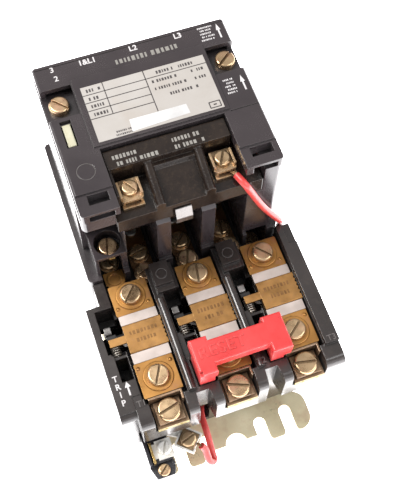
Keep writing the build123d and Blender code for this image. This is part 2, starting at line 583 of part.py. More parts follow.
# ---------------------------------------------------------------------------
# overload relay housing: terminal ledge at the load end, three heater bays,
# a ratchet window on the left of each bay, hollow underneath
# ---------------------------------------------------------------------------
WIN_L, WIN_R = -16.9, -9.3          # ratchet window beside each pole, from the pole's axis
FLOOR_Z = 51.0                      # floor of the heater bays
with BuildPart() as overload_housing:
    block(-OX, OX, -57.5, OY1, 6.0, O_TOP)
    # the ledge with the lobes beside the load terminals, rounded over at the front
    with BuildSketch(Plane.YZ.offset(-41.2)):
        with Locations(((OY0 - 56.0) / 2, (O_UNDER + O_TOP) / 2)):
            Rectangle(-56.0 - OY0, O_TOP - O_UNDER)
        fillet(vertices().group_by(Axis.X)[0].sort_by(Axis.Y)[-1], radius=4.2)
    extrude(amount=OX + 41.2)
    with BuildSketch(Plane.YZ.offset(-OX)):
        with Locations((-58.2, 36.0)):
            Rectangle(4.4, 42.0)
        fillet(vertices().group_by(Axis.X)[0].sort_by(Axis.Y)[-1], radius=3.4)
    extrude(amount=OX - 41.0)
    fillet(overload_housing.edges().filter_by(Axis.Z).filter_by(lambda e: e.center().X < -48 and e.center().Y > -5 or e.center().X > 48 and e.center().Y > 0), radius=1.6)
    # the narrow left-hand rear corner beside the contactor
    block(-OX - 1, -42.2, -9.3, 2, 0, 70, mode=Mode.SUBTRACT)
    # hollow underneath
    block(-45.4, 45.4, -54.6, -9.3, 5, 38.0, mode=Mode.SUBTRACT)
    block(-39.4, 45.4, -9.4, -2.3, 5, 38.0, mode=Mode.SUBTRACT)
    # side walls standing above the bays
    block(42.0, OX, -57.0, OY1, O_TOP - 1, 60.4)
    block(44.6, OX + 1, -9.0, OY1 + 1, 59.4, 61, mode=Mode.SUBTRACT)
    for hx in HEAT_X:
        # heater bay, open towards the contactor
        block(hx - 9.3, hx + 9.4, -56.4, 2, FLOOR_Z, 70, mode=Mode.SUBTRACT)
        # load-terminal bay, open at the front
        block(hx - 7.5, hx + 7.5, -67, -51.4, 46.9, 70, mode=Mode.SUBTRACT)
        block(hx - 6.8, hx + 7.0, -67, -63.6, 45.6, 47.0, mode=Mode.SUBTRACT)
        # ratchet window, pawl channel under the bay and the drop hole behind the spring
        block(hx + WIN_L, hx + WIN_R, -31.6, -11.4, 43.6, 70, mode=Mode.SUBTRACT)
        block(hx - 14.9, hx - 9.6, -44.6, -33.6, 37.0, 70, mode=Mode.SUBTRACT)
        block(hx - 14.9, hx - 9.6, -33.7, -32.3, 54.8, 70, mode=Mode.SUBTRACT)
        block(hx - 15.6, hx - 8.0, -32.4, -31.0, 46.0, 70, mode=Mode.SUBTRACT)
        block(hx - 9.6, hx + 6.9, -34.4, -14.6, 43.6, FLOOR_Z + 1, mode=Mode.SUBTRACT)
        # well for the solder pot's shaft
        with Locations((hx, -27.5, 36)):
            Cylinder(1.55, 9, align=(Align.CENTER, Align.CENTER, Align.MIN), mode=Mode.SUBTRACT)
    # channel of the trip slide
    block(-45.2, 26.2, -30.0, -14.4, 37.5, 43.7, mode=Mode.SUBTRACT)
    # partitions with rounded tops between bay and window
    for hx in HEAT_X[:2]:
        with BuildSketch(Plane.XZ.offset(57.0)):
            with Locations((hx + 11.2, 59.2)):
                RectangleRounded(3.4, 3.4, 1.6)
        extrude(amount=-42.0)
    # clearance for the contactor's load terminals, under the pads
    for px in POLE_X:
        block(px - 5.8, px + 5.8, -3.9, 2, 49.2, O_TOP - 1, mode=Mode.SUBTRACT)
        block(px - 2.2, px + 2.2, -1.2, 2, 46.0, 50.0, mode=Mode.SUBTRACT)
    # marked pads at the contactor end, midway between the poles
    for px in (-12.9, 17.35):
        block(px - 4.0, px + 4.0, -12.4, OY1, O_TOP - 1, 62.0)
        block(px - 4.0, px + 4.0, -12.4, -9.9, 60.0, 63, mode=Mode.SUBTRACT)
        with BuildSketch(Plane.XY.offset(62.0)):
            with Locations((px, -5.2)):
                Circle(2.4)
                Circle(2.15, mode=Mode.SUBTRACT)
        extrude(amount=-0.25, mode=Mode.SUBTRACT)
    # recesses in the front face between the terminals, with drafted sides
    for x0 in (-16.4, 13.8):
        with BuildSketch(Plane.XY.offset(O_UNDER - 1)):
            with BuildLine():
                Polyline((x0, -67), (x0 + 0.6, -58.6), (x0 + 6.0, -58.6), (x0 + 7.6, -67), close=True)
            make_face()
        extrude(amount=40, mode=Mode.SUBTRACT)
    # pockets that take the feet of the reset bar
    block(-13.9, -6.3, -56.5, -44.4, 54.6, 70, mode=Mode.SUBTRACT)
    block(17.4, 23.9, -56.5, -44.4, 54.6, 70, mode=Mode.SUBTRACT)
    block(-12.9, -7.9, -53.4, -46.4, 36, 56, mode=Mode.SUBTRACT)
    block(18.4, 22.8, -53.4, -46.4, 36, 56, mode=Mode.SUBTRACT)
    block(-12.9, 22.8, -50.8, -46.4, 36, 46.2, mode=Mode.SUBTRACT)
    with Locations((RESET_SPRING[0], RESET_SPRING[1], 36.0)):
        Cylinder(3.2, 10.2, align=(Align.CENTER, Align.CENTER, Align.MIN), mode=Mode.SUBTRACT)
    # openings of the hollow: wire slot at the right rear corner and at the front
    block(40.6, 46.9, -3.5, 2, 5, 30.0, mode=Mode.SUBTRACT)
    block(-19.0, -8.5, -58, -54, 5, 33.0, mode=Mode.SUBTRACT)
    # opening for the control-contact block
    block(-42.0, -30.6, -61, -54.0, 5, 33.0, mode=Mode.SUBTRACT)
    # screw holes to the plate
    for x, y in RELAY_SCREWS:
        with Locations((x, y, 6)):
            Cylinder(4.2, 32.2, align=(Align.CENTER, Align.CENTER, Align.MIN))
    for x, y in RELAY_SCREWS:
        with Locations((x, y, 5)):
            Cylinder(2.1, 30, align=(Align.CENTER, Align.CENTER, Align.MIN), mode=Mode.SUBTRACT)
    # wells for the seats' locating pins are blind; trip mark ledge slightly lowered
    block(-36.6 - 4.6, -35.4, -57, -51.5, O_TOP - 0.6, 60, mode=Mode.SUBTRACT)
overload_housing.part.label = "overload_housing"
print("housing", overload_housing.part.volume, overload_housing.part.is_valid, len(overload_housing.part.solids()))
export_step(overload_housing.part, "parts/overload_housing.step")

# insulating base of the relay, between housing and plate
with BuildPart() as overload_base:
    block(-OX + 0.6, OX - 0.6, -57.0, OY1 - 0.2, PLATE_T, 6.0)
    block(-OX - 1, -42.4, -9.1, 2, 0, 10, mode=Mode.SUBTRACT)
    with Locations((RESET_SPRING[0], RESET_SPRING[1], 6.0)):
        Cylinder(3.2, 16.0, align=(Align.CENTER, Align.CENTER, Align.MIN))
    for x, y in RELAY_SCREWS:
        with Locations((x, y, 0)):
            Cylinder(2.1, 20, mode=Mode.SUBTRACT)
overload_base.part.label = "overload_base"
export_step(overload_base.part, "parts/overload_base.step")

# screws from the back of the plate into the relay
with BuildPart() as relay_screws:
    for x, y in RELAY_SCREWS:
        with Locations((x, y, 0.1)):
            Cylinder(2.0, 26.0, align=(Align.CENTER, Align.CENTER, Align.MIN))
relay_screws.part.label = "relay_screws"
export_step(relay_screws.part, "parts/relay_screws.step")

# ---------------------------------------------------------------------------
# conductors of the relay
# ---------------------------------------------------------------------------
with BuildPart() as supply_straps:
    for px, hx in zip(POLE_X, HEAT_X):
        with BuildSketch(Plane.XY.offset(STRAP_Z)):
            with BuildLine():
                Polyline((px - 4.6, 5.4), (px + 4.6, 5.4), (px + 4.6, -1.6), (hx + 7.0, -3.0), (hx + 7.0, -14.0),
                         (hx - 7.0, -14.0), (hx - 7.0, -3.0), (px - 4.6, -1.6), close=True)
            make_face()
            with Locations((px, LOAD_SCREW_Y)):
                Circle(1.65, mode=Mode.SUBTRACT)
        extrude(amount=STRAP_T)
        block(hx - 7.0, hx + 7.0, -14.0, -4.3, STRAP_Z + STRAP_T, SEAT_Z)
        with Locations((hx, UP_SCREW_Y, SEAT_Z)):
            Cylinder(1.65, 12, mode=Mode.SUBTRACT)
supply_straps.part.label = "supply_straps"
print("straps", supply_straps.part.volume, len(supply_straps.part.solids()))
export_step(supply_straps.part, "parts/supply_straps.step")

# load terminals: seat under the heater's lower end, stepped down to the terminal plate
with BuildPart() as load_terminals:
    for hx in HEAT_X:
        with BuildSketch(Plane.YZ.offset(hx - 6.6)):
            with BuildLine():
                Polyline((-41.5, FLOOR_Z + 0.1), (-41.5, SEAT_Z), (-52.8, SEAT_Z), (-52.8, 50.3), (-66.3, 50.3), (-66.3, 46.9),
                         (-65.5, 46.9), (-65.5, 48.7), (-51.6, 48.7), (-51.6, FLOOR_Z + 0.1), close=True)
            make_face()
        extrude(amount=13.4)
        with Locations((hx, LOW_SCREW_Y, SEAT_Z), (hx, T_SCREW_Y, 50.0)):
            Cylinder(1.65, 14, mode=Mode.SUBTRACT)
        # centre-punch marks in the lip
        with Locations((hx - 3.1, -66.7, 48.7), (hx + 3.4, -66.7, 48.7)):
            Sphere(0.85, mode=Mode.SUBTRACT)
        # thin plated guard folded up behind the wire clamp
        block(hx - 7.2, hx + 7.2, -55.2, -54.4, 50.3, 57.5)
        block(hx + 6.4, hx + 7.2, -58.6, -54.4, 50.3, 57.5)
load_terminals.part.label = "load_terminals"
print("terminals", load_terminals.part.volume, len(load_terminals.part.solids()))
export_step(load_terminals.part, "parts/load_terminals.step")

wire_screw = make_screw(4.95, 2.9, 1.6, 5.2, slot_w=1.2, slot_d=1.4)
with BuildPart() as load_wire_screws:
    for hx, rot in zip(HEAT_X, (14, -22, -12)):
        with Locations(Location((hx, T_SCREW_Y, 52.3), (0, 0, rot))):
            add(wire_screw)
load_wire_screws.part.label = "load_wire_screws"
export_step(load_wire_screws.part, "parts/load_wire_screws.step")

# ---------------------------------------------------------------------------
# heater units: terminal plates, insulating bands, stamped middle plate with its
# spring tab, solder pot and ratchet wheel below
# ---------------------------------------------------------------------------
HP0, HP1 = SEAT_Z, SEAT_Z + HEAT_T
with BuildPart() as heater_plates:
    for hx in HEAT_X:
        with BuildSketch(Plane.XY.offset(HP0)):
            with Locations((hx, -9.4)):
                RectangleRounded(16.7, 14.2, 0.6)
            with Locations((hx, -46.4)):
                RectangleRounded(16.7, 15.4, 0.6)
            with Locations((hx, UP_SCREW_Y), (hx, LOW_SCREW_Y)):
                Circle(1.65, mode=Mode.SUBTRACT)
        extrude(amount=HEAT_T)
        # rivet dimples
        for dx, y in ((-6.9, -13.2), (6.4, -13.6), (-7.0, -41.0), (6.9, -41.2)):
            with Locations((hx + dx, y, HP1 - 0.45)):
                Sphere(1.0)
heater_plates.part.label = "heater_plates"
export_step(heater_plates.part, "parts/heater_plates.step")

with BuildPart() as heater_bands:
    for hx in HEAT_X:
        block(hx - 7.9, hx + 8.5, -20.9, -16.6, HP0 - 0.6, HP1 + 0.1)
        block(hx - 7.9, hx + 8.5, -38.6, -34.0, HP0 - 0.6, HP1 + 0.1)
heater_bands.part.label = "heater_bands"
export_step(heater_bands.part, "parts/heater_bands.step")

with BuildPart() as heater_cores:
    for hx in HEAT_X:
        block(hx - 7.8, hx + 9.1, -33.9, -21.0, HP0 - 0.8, HP1 + 0.6)
        fillet(heater_cores.edges().filter_by(Axis.X).filter_by(lambda e, hx=hx: e.center().Z > HP1 and abs(e.center().X - hx) < 9), radius=0.45)
        # spring tab towards the ratchet window
        block(hx - 15.0, hx - 7.7, -28.6, -25.2, HP1 - 0.6, HP1 + 0.4)
        # notched edge of the stamping
        for k in range(5):
            block(hx + 8.7, hx + 9.2, -31.6 + 1.9 * k, -30.7 + 1.9 * k, HP0 - 1, HP1 + 1, mode=Mode.SUBTRACT)
heater_cores.part.label = "heater_cores"
print("cores", heater_cores.part.volume, len(heater_cores.part.solids()))
export_step(heater_cores.part, "parts/heater_cores.step")

heater_screw = make_screw(4.6, 2.5, 1.6, 6.8, slot_w=1.05, slot_d=1.2)
with BuildPart() as heater_screws:
    for hx, (ra, rb) in zip(HEAT_X, ((48, 62), (80, 30), (-48, 38))):
        with Locations(Location((hx, UP_SCREW_Y, HP1 + 0.7), (0, 0, ra)), Location((hx, LOW_SCREW_Y, HP1 + 0.7), (0, 0, rb))):
            add(heater_screw)
heater_screws.part.label = "heater_screws"
export_step(heater_screws.part, "parts/heater_screws.step")

with BuildPart() as heater_washers:
    for hx in HEAT_X:
        for y in (UP_SCREW_Y, LOW_SCREW_Y):
            with Locations((hx, y, HP1)):
                Cylinder(6.4, 0.7, align=(Align.CENTER, Align.CENTER, Align.MIN))
                Cylinder(1.65, 4, mode=Mode.SUBTRACT)
    fillet(heater_washers.edges().filter_by(GeomType.CIRCLE).filter_by(lambda e: e.radius > 5 and e.center().Z > HP1 + 0.5), radius=0.4)
heater_washers.part.label = "heater_washers"
export_step(heater_washers.part, "parts/heater_washers.step")

with BuildPart() as solder_pots:
    for hx in HEAT_X:
        with Locations((hx, -27.5, 48.2)):
            Cylinder(3.4, HP0 - 0.8 - 48.2, align=(Align.CENTER, Align.CENTER, Align.MIN))
            Cylinder(1.55, 3.0, align=(Align.CENTER, Align.CENTER, Align.MIN), mode=Mode.SUBTRACT)
solder_pots.part.label = "solder_pots"
export_step(solder_pots.part, "parts/solder_pots.step")

TEETH = 16
for n, hx in enumerate(HEAT_X):
    with BuildPart() as ratchet:
        with BuildSketch(Plane.XY.offset(44.9)):
            with Locations((hx, -27.5)):
                Circle(RATCHET_R)
                with PolarLocations(RATCHET_R - 0.1, TEETH):
                    Rectangle(1.9, 0.75, mode=Mode.SUBTRACT)
        extrude(amount=2.6)
        with Locations((hx, -27.5, 38.2)):
            Cylinder(1.5, 12.6, align=(Align.CENTER, Align.CENTER, Align.MIN))
    ratchet.part.label = f"ratchet_wheel_{n + 1}"
    export_step(ratchet.part, f"parts/ratchet_wheel_{n + 1}.step")

# ---------------------------------------------------------------------------
# trip slide with its three pawls and springs
# ---------------------------------------------------------------------------
with BuildPart() as trip_slide:
    block(-44.9, 21.8, -25.2, -18.9, 38.0, 42.8)
    for hx in HEAT_X:
        block(hx - 15.4, hx - 11.2, -24.6, -22.2, 42.8, 55.0)
    fillet(trip_slide.edges().filter_by(Axis.X).group_by(Axis.Z)[-1], radius=0.6)
trip_slide.part.label = "trip_slide"
export_step(trip_slide.part, "parts/trip_slide.step")

with BuildPart() as pawls:
    for hx in HEAT_X:
        block(hx - 15.4, hx - 12.6, -22.2, -18.4, 44.9, 55.6)
        fillet(pawls.edges().filter_by(Axis.X).filter_by(lambda e, hx=hx: e.center().Z > 55 and abs(e.center().X - hx + 14) < 2), radius=0.9)
        with BuildSketch(Plane.XY.offset(45.2)):
            with BuildLine():
                Polyline((hx - 12.6, -21.9), (hx - 11.0, -22.1), (hx - 8.4, -26.4), (hx - 5.9, -27.3), (hx - 8.0, -24.6), (hx - 11.8, -19.6), (hx - 12.6, -19.6), close=True)
            make_face()
        extrude(amount=2.0)
pawls.part.label = "pawls"
print("pawls", pawls.part.volume, len(pawls.part.solids()))
export_step(pawls.part, "parts/pawls.step")

pawl_spring = make_spring(1.85, 0.33, 32.4 - 24.6, 7)
with BuildPart() as pawl_springs:
    for hx in HEAT_X:
        with Locations(Location((hx - 13.0, -32.4, 52.6), (-90, 0, 0))):
            add(pawl_spring)
pawl_springs.part.label = "pawl_springs"
export_step(pawl_springs.part, "parts/pawl_springs.step")

# ---------------------------------------------------------------------------
# reset bar
# ---------------------------------------------------------------------------
with BuildPart() as reset_bar:
    block(-5.7, 18.2, -52.4, -42.5, 64.7, 70.5)
    block(-13.3, -5.6, -56.2, -40.4, 64.2, 70.5)
    block(18.1, 26.8, -56.2, -40.4, 64.2, 70.5)
    block(-13.3, -6.7, -56.2, -44.8, 58.6, 64.3)
    block(17.9, 23.5, -56.2, -44.8, 58.6, 64.3)
    block(23.4, 26.6, -56.2, -54.8, 61.4, 64.3)
    fillet(reset_bar.edges().group_by(Axis.Z)[-1], radius=0.9)
    for x0, x1 in ((-12.5, -8.3), (18.8, 22.4)):
        block(x0, x1, -53.0, -46.8, 58, 65.0, mode=Mode.SUBTRACT)
    # moulded nick at the front left corner
    block(-13.4, -11.8, -56.3, -54.4, 68.9, 71, mode=Mode.SUBTRACT)
reset_bar.part.label = "reset_bar"
print("reset", reset_bar.part.volume, reset_bar.part.is_valid, len(reset_bar.part.solids()))
export_step(reset_bar.part, "parts/reset_bar.step")

with BuildPart() as reset_slide:
    block(-12.5, -8.3, -53.0, -46.8, 40.5, 65.0)
    block(18.8, 22.4, -53.0, -46.8, 40.5, 65.0)
    block(-12.5, 22.4, -50.4, -46.8, 40.5, 45.5)
reset_slide.part.label = "reset_slide"
export_step(reset_slide.part, "parts/reset_slide.step")

with BuildPart() as reset_spring:
    with Locations((RESET_SPRING[0], RESET_SPRING[1], 22.0)):
        add(make_spring(2.4, 0.35, 18.5, 7))
reset_spring.part.label = "reset_spring"
export_step(reset_spring.part, "parts/reset_spring.step")

# ---------------------------------------------------------------------------
# control-circuit contact of the relay, in its own block at the load end
# ---------------------------------------------------------------------------
with BuildPart() as control_block:
    with BuildSketch(Plane.XY.offset(6.0)):
        with BuildLine():
            Polyline((-41.8, -42.0), (-30.8, -42.0), (-30.8, -76.0), (-32.0, -79.6), (-40.0, -79.6), (-41.8, -74.0), close=True)
        make_face()
    extrude(amount=15.0)
    # walls around the screws
    block(-41.8, -40.4, -74.0, -60.5, 21.0, 27.0)
    block(-32.0, -30.8, -75.8, -74.6, 21.0, 23.6)
    block(-40.2, -31.6, -73.6, -62.6, 20.9, 23.6)
    # contact chamber
    block(-40.2, -32.2, -62.0, -43.4, 12.0, 22.0, mode=Mode.SUBTRACT)
    with Locations(Location((-36.2, -45.6, 15.8), (0, 90, 0))):
        Cylinder(1.0, 10.6, mode=Mode.SUBTRACT)
    for x, y in ((-33.4, -68.4), (-36.2, -76.6)):
        with Locations((x, y, 12)):
            Cylinder(1.4, 20, align=(Align.CENTER, Align.CENTER, Align.MIN), mode=Mode.SUBTRACT)
control_block.part.label = "control_block"
print("control block", control_block.part.volume, len(control_block.part.solids()))
export_step(control_block.part, "parts/control_block.step")

with BuildPart() as control_terminal:
    block(-37.0, -29.8, -72.7, -64.2, 23.6, 24.8)
    block(-39.6, -38.6, -73.8, -64.6, 23.6, 26.9)
    block(-38.6, -37.0, -71.6, -65.2, 23.6, 24.4)
    with Locations((-33.4, -68.4, 24)):
        Cylinder(1.4, 4, mode=Mode.SUBTRACT)
control_terminal.part.label = "control_terminal"
export_step(control_terminal.part, "parts/control_terminal.step")

# common terminal, turned 45 degrees, on an arm from the block
TURNED = (-22.4, -68.2)
with BuildPart() as wire_terminal:
    with BuildSketch(Plane.XY.offset(22.4)):
        with Locations(Location((TURNED[0], TURNED[1], 0), (0, 0, 48))):
            RectangleRounded(8.4, 8.4, 0.5)
        with BuildLine():
            Polyline((-30.7, -57.6), (-30.7, -63.0), (-25.0, -66.0), (-21.5, -64.4), (-24.0, -60.0), close=True)
        make_face()
        with Locations(TURNED):
            Circle(1.4, mode=Mode.SUBTRACT)
    extrude(amount=1.6)
    # feet that clip into the block
    block(-33.4, -30.6, -62.0, -58.0, 22.4, 24.0)
    # upstanding clip around the screw, open where the wire comes in
    with BuildSketch(Plane.XY.offset(24.0)):
        with Locations(Location((TURNED[0], TURNED[1], 0), (0, 0, 48))):
            Rectangle(9.6, 9.6)
            Rectangle(8.0, 8.0, mode=Mode.SUBTRACT)
        with Locations(Location((TURNED[0] - 1.0, TURNED[1] + 5.4, 0), (0, 0, 48))):
            Rectangle(4.4, 1.2, mode=Mode.SUBTRACT)
        with Locations(Location((TURNED[0] + 3.3, TURNED[1] - 3.3, 0), (0, 0, -45))):
            Rectangle(3.6, 5.2, mode=Mode.SUBTRACT)
    extrude(amount=1.5)
wire_terminal.part.label = "wire_terminal"
print("wire terminal", wire_terminal.part.volume, len(wire_terminal.part.solids()))
export_step(wire_terminal.part, "parts/wire_terminal.step")

with BuildPart() as control_screws:
    with Locations(Location((-33.4, -68.4, 24.8), (0, 0, 66))):
        add(make_screw(3.1, 2.2, 1.35, 8.0, slot_w=0.9, slot_d=1.1))
    with Locations(Location((-36.2, -76.6, 21.0), (0, 0, 40))):
        add(make_screw(2.7, 2.0, 1.35, 8.0, slot_w=0.8, slot_d=1.0))
    with Locations(Location((TURNED[0], TURNED[1], 25.1), (0, 0, 18))):
        add(make_screw(3.5, 2.2, 1.35, 5.0, slot_w=0.9, slot_d=1.1))
    with BuildSketch(Plane.XY.offset(24.0)):
        with Locations(Location((TURNED[0], TURNED[1], 0), (0, 0, 48))):
            Rectangle(7.6, 7.6)
        with Locations(TURNED):
            Circle(1.4, mode=Mode.SUBTRACT)
    extrude(amount=1.1)
control_screws.part.label = "control_screws"
export_step(control_screws.part, "parts/control_screws.step")

with BuildPart() as fixed_contact:
    block(-38.2, -34.2, -61.6, -54.6, 12.0, 13.0)
    with Locations((-36.2, -57.4, 13.0)):
        Cylinder(1.5, 1.1, align=(Align.CENTER, Align.CENTER, Align.MIN))
fixed_contact.part.label = "fixed_contact"
export_step(fixed_contact.part, "parts/fixed_contact.step")

with BuildPart() as contact_arm:
    block(-38.4, -34.0, -58.9, -45.6, 15.4, 16.1)
    with Locations(Location((-36.2, -45.6, 15.8), (0, 90, 0))):
        Cylinder(1.8, 4.8)
        Cylinder(1.05, 8, mode=Mode.SUBTRACT)
    with Locations((-36.2, -57.4, 15.5)):
        Cylinder(1.5, 1.3, align=(Align.CENTER, Align.CENTER, Align.MAX))
contact_arm.part.label = "contact_arm"
export_step(contact_arm.part, "parts/contact_arm.step")

with BuildPart() as contact_arm_pin:
    with Locations(Location((-36.2, -45.6, 15.8), (0, 90, 0))):
        Cylinder(0.98, 10.4)
contact_arm_pin.part.label = "contact_arm_pin"
export_step(contact_arm_pin.part, "parts/contact_arm_pin.step")

# ---------------------------------------------------------------------------
# control wire: coil terminal, down the right flank, under the relay, a small
# loop in front of the relay, and up to the turned terminal
# ---------------------------------------------------------------------------
WIRE = [(23.1, 6.3, 107.3), (24.9, 0.7, 107.6), (34.4, 0.75, 82.7), (43.4, 1.0, 65.5), (45.4, 2.9, 59.5), (45.3, 3.0, 38.0), (45.2, 2.6, 16.0),
        (41.0, -10.0, 12.5), (24.0, -27.0, 12.0), (5.0, -38.5, 12.0), (-7.0, -47.0, 13.0), (-12.7, -56.0, 18.5),
        (-12.9, -66.0, 18.5), (-13.2, -73.0, 15.5), (-13.2, -79.0, 13.4), (-16.0, -79.0, 17.0), (-16.6, -74.0, 23.4), (-17.87, -72.73, 25.4)]
pts = [Vector(*p) for p in WIRE]
radii = []
for a, b, c in zip(pts, pts[1:], pts[2:]):
    turn = math.radians((b - a).get_angle(c - b))
    radii.append(round(0.45 * min((b - a).length, (c - b).length) / math.tan(turn / 2), 3))
print("wire radii", radii)
with BuildPart() as control_wire:
    with BuildLine() as route:
        FilletPolyline(*pts, radius=radii)
    with BuildSketch(Plane(origin=route.line @ 0, z_dir=route.line % 0)):
        Circle(WIRE_D / 2)
    sweep()
control_wire.part.label = "control_wire"
wire_length = sum(e.length for e in route.line.edges())
print("wire length", wire_length, "volume", control_wire.part.volume, "expected", math.pi * (WIRE_D / 2) ** 2 * wire_length)
export_step(control_wire.part, "parts/control_wire.step")

# stripped strands under the coil clamp
with BuildPart() as wire_strands:
    with BuildSketch(Plane(origin=pts[0] + Vector(0.05, -0.09, 0), z_dir=(-0.5, 0.866, 0))):
        with PolarLocations(0.42, 6):
            Circle(0.2)
        Circle(0.2)
    extrude(amount=4.6)
    with BuildSketch(Plane(origin=pts[-1] + Vector(-0.05, 0.05, 0.0), z_dir=(-0.7, 0.7, -0.2))):
        with PolarLocations(0.42, 6):
            Circle(0.2)
        Circle(0.2)
    extrude(amount=2.2)
    # trimmed flush with the insulation and with the terminal screw's washer
    add(control_wire.part, mode=Mode.SUBTRACT)
    add(control_screws.part, mode=Mode.SUBTRACT)
wire_strands.part.label = "wire_strands"
export_step(wire_strands.part, "parts/wire_strands.step")
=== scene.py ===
import bpy, bmesh, math, json, random
from mathutils import Vector, Matrix
from mathutils.bvhtree import BVHTree


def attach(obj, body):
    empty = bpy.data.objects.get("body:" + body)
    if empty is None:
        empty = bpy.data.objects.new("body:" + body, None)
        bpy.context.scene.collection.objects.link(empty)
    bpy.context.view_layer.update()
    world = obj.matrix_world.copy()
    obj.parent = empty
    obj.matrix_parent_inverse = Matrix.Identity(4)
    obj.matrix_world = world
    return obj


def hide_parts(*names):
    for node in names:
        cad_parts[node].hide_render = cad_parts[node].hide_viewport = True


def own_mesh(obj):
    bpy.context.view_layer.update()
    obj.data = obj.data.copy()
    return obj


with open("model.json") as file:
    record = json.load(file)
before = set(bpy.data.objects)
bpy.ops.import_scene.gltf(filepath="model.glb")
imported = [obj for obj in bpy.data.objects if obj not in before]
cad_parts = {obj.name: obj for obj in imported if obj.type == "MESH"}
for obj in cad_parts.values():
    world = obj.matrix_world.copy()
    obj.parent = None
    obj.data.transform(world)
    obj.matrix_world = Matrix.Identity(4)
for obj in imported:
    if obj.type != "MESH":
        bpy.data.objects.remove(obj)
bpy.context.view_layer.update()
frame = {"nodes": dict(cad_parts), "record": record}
nodes = frame["nodes"]
MM = 0.001
rng = random.Random(7)

scene = bpy.context.scene
scene.view_settings.view_transform = "Standard"
scene.view_settings.look = "None"
scene.view_settings.exposure = 0.0
scene.view_settings.gamma = 1.0

# ------------------------------------------------------------------ camera
cam_data = bpy.data.cameras.new("camera")
cam = bpy.data.objects.new("camera", cam_data)
scene.collection.objects.link(cam)
right = Vector((0.94183474, -0.33536301, 0.02188564))
down = Vector((-0.29495353, -0.85604982, -0.42447746))
ahead = Vector((0.16108923, 0.39333238, -0.90517396))
m = Matrix.Identity(4)
for i, col in enumerate((right, -down, -ahead)):
    for r in range(3):
        m[r][i] = col[r]
m[0][3], m[1][3], m[2][3] = -0.0559, -0.1564, 0.4206
cam.matrix_world = m
cam_data.sensor_fit = "VERTICAL"
cam_data.sensor_height = 36.0
cam_data.lens = 65.79
cam_data.clip_start = 0.01
cam_data.clip_end = 20.0
scene.camera = cam

# ------------------------------------------------------------- light, floor
world = bpy.data.worlds.new("studio")
scene.world = world
world.use_nodes = True
wb = world.node_tree.nodes["Background"]
wb.inputs["Color"].default_value = (1.0, 1.0, 1.0, 1.0)
wb.inputs["Strength"].default_value = 0.62


def area(name, loc, target, size, power, color=(1, 1, 1), size_y=None):
    d = bpy.data.lights.new(name, "AREA")
    d.energy = power
    d.color = color
    d.size = size
    if size_y:
        d.shape = "RECTANGLE"
        d.size_y = size_y
    o = bpy.data.objects.new(name, d)
    scene.collection.objects.link(o)
    o.location = loc
    o.rotation_euler = (Vector(target) - Vector(loc)).to_track_quat("-Z", "Y").to_euler()
    return o


area("key", (-0.55, 0.35, 1.15), (0, 0, 0.05), 0.55, 17.0, (1.0, 0.985, 0.965))
area("fill", (0.75, -0.55, 0.95), (0, 0, 0.05), 0.8, 9.0, (0.97, 0.98, 1.0))
area("front", (-0.05, -1.05, 0.30), (0, 0, 0.02), 1.1, 2.0, (0.98, 0.97, 1.0), 0.5)

floor_mesh = bpy.data.meshes.new("floor")
floor_mesh.from_pydata([(-3, -3, 0), (3, -3, 0), (3, 3, 0), (-3, 3, 0)], [], [(0, 1, 2, 3)])
floor = bpy.data.objects.new("floor", floor_mesh)
scene.collection.objects.link(floor)
floor.location.z = -0.0003


# --------------------------------------------------------------- materials
def new_material(name):
    mat = bpy.data.materials.new(name)
    mat.use_nodes = True
    nt = mat.node_tree
    nt.nodes.clear()
    out = nt.nodes.new("ShaderNodeOutputMaterial")
    bsdf = nt.nodes.new("ShaderNodeBsdfPrincipled")
    nt.links.new(bsdf.outputs["BSDF"], out.inputs["Surface"])
    return mat, nt, bsdf


def noise(nt, coord, scale, detail=3.0, rough=0.55, stretch=None):
    n = nt.nodes.new("ShaderNodeTexNoise")
    n.inputs["Scale"].default_value = scale
    n.inputs["Detail"].default_value = detail
    n.inputs["Roughness"].default_value = rough
    if stretch:
        mp = nt.nodes.new("ShaderNodeMapping")
        mp.inputs["Scale"].default_value = stretch
        nt.links.new(coord, mp.inputs["Vector"])
        nt.links.new(mp.outputs["Vector"], n.inputs["Vector"])
    else:
        nt.links.new(coord, n.inputs["Vector"])
    return n.outputs["Fac"]


def ramp(nt, value, lo, hi, out_lo, out_hi):
    r = nt.nodes.new("ShaderNodeMapRange")
    r.inputs["From Min"].default_value = lo
    r.inputs["From Max"].default_value = hi
    r.inputs["To Min"].default_value = out_lo
    r.inputs["To Max"].default_value = out_hi
    nt.links.new(value, r.inputs["Value"])
    return r.outputs["Result"]


def mix(nt, fac, a, b):
    x = nt.nodes.new("ShaderNodeMix")
    x.data_type = "RGBA"
    for sock, v in ((x.inputs[6], a), (x.inputs[7], b)):
        if isinstance(v, (tuple, list)):
            sock.default_value = (*v[:3], 1.0)
        else:
            nt.links.new(v, sock)
    if isinstance(fac, (int, float)):
        x.inputs[0].default_value = fac
    else:
        nt.links.new(fac, x.inputs[0])
    return x.outputs[2]


def math_node(nt, op, a, b=None, clamp=False):
    x = nt.nodes.new("ShaderNodeMath")
    x.operation = op
    x.use_clamp = clamp
    for i, v in enumerate((a, b)):
        if v is None:
            continue
        if isinstance(v, (int, float)):
            x.inputs[i].default_value = v
        else:
            nt.links.new(v, x.inputs[i])
    return x.outputs[0]


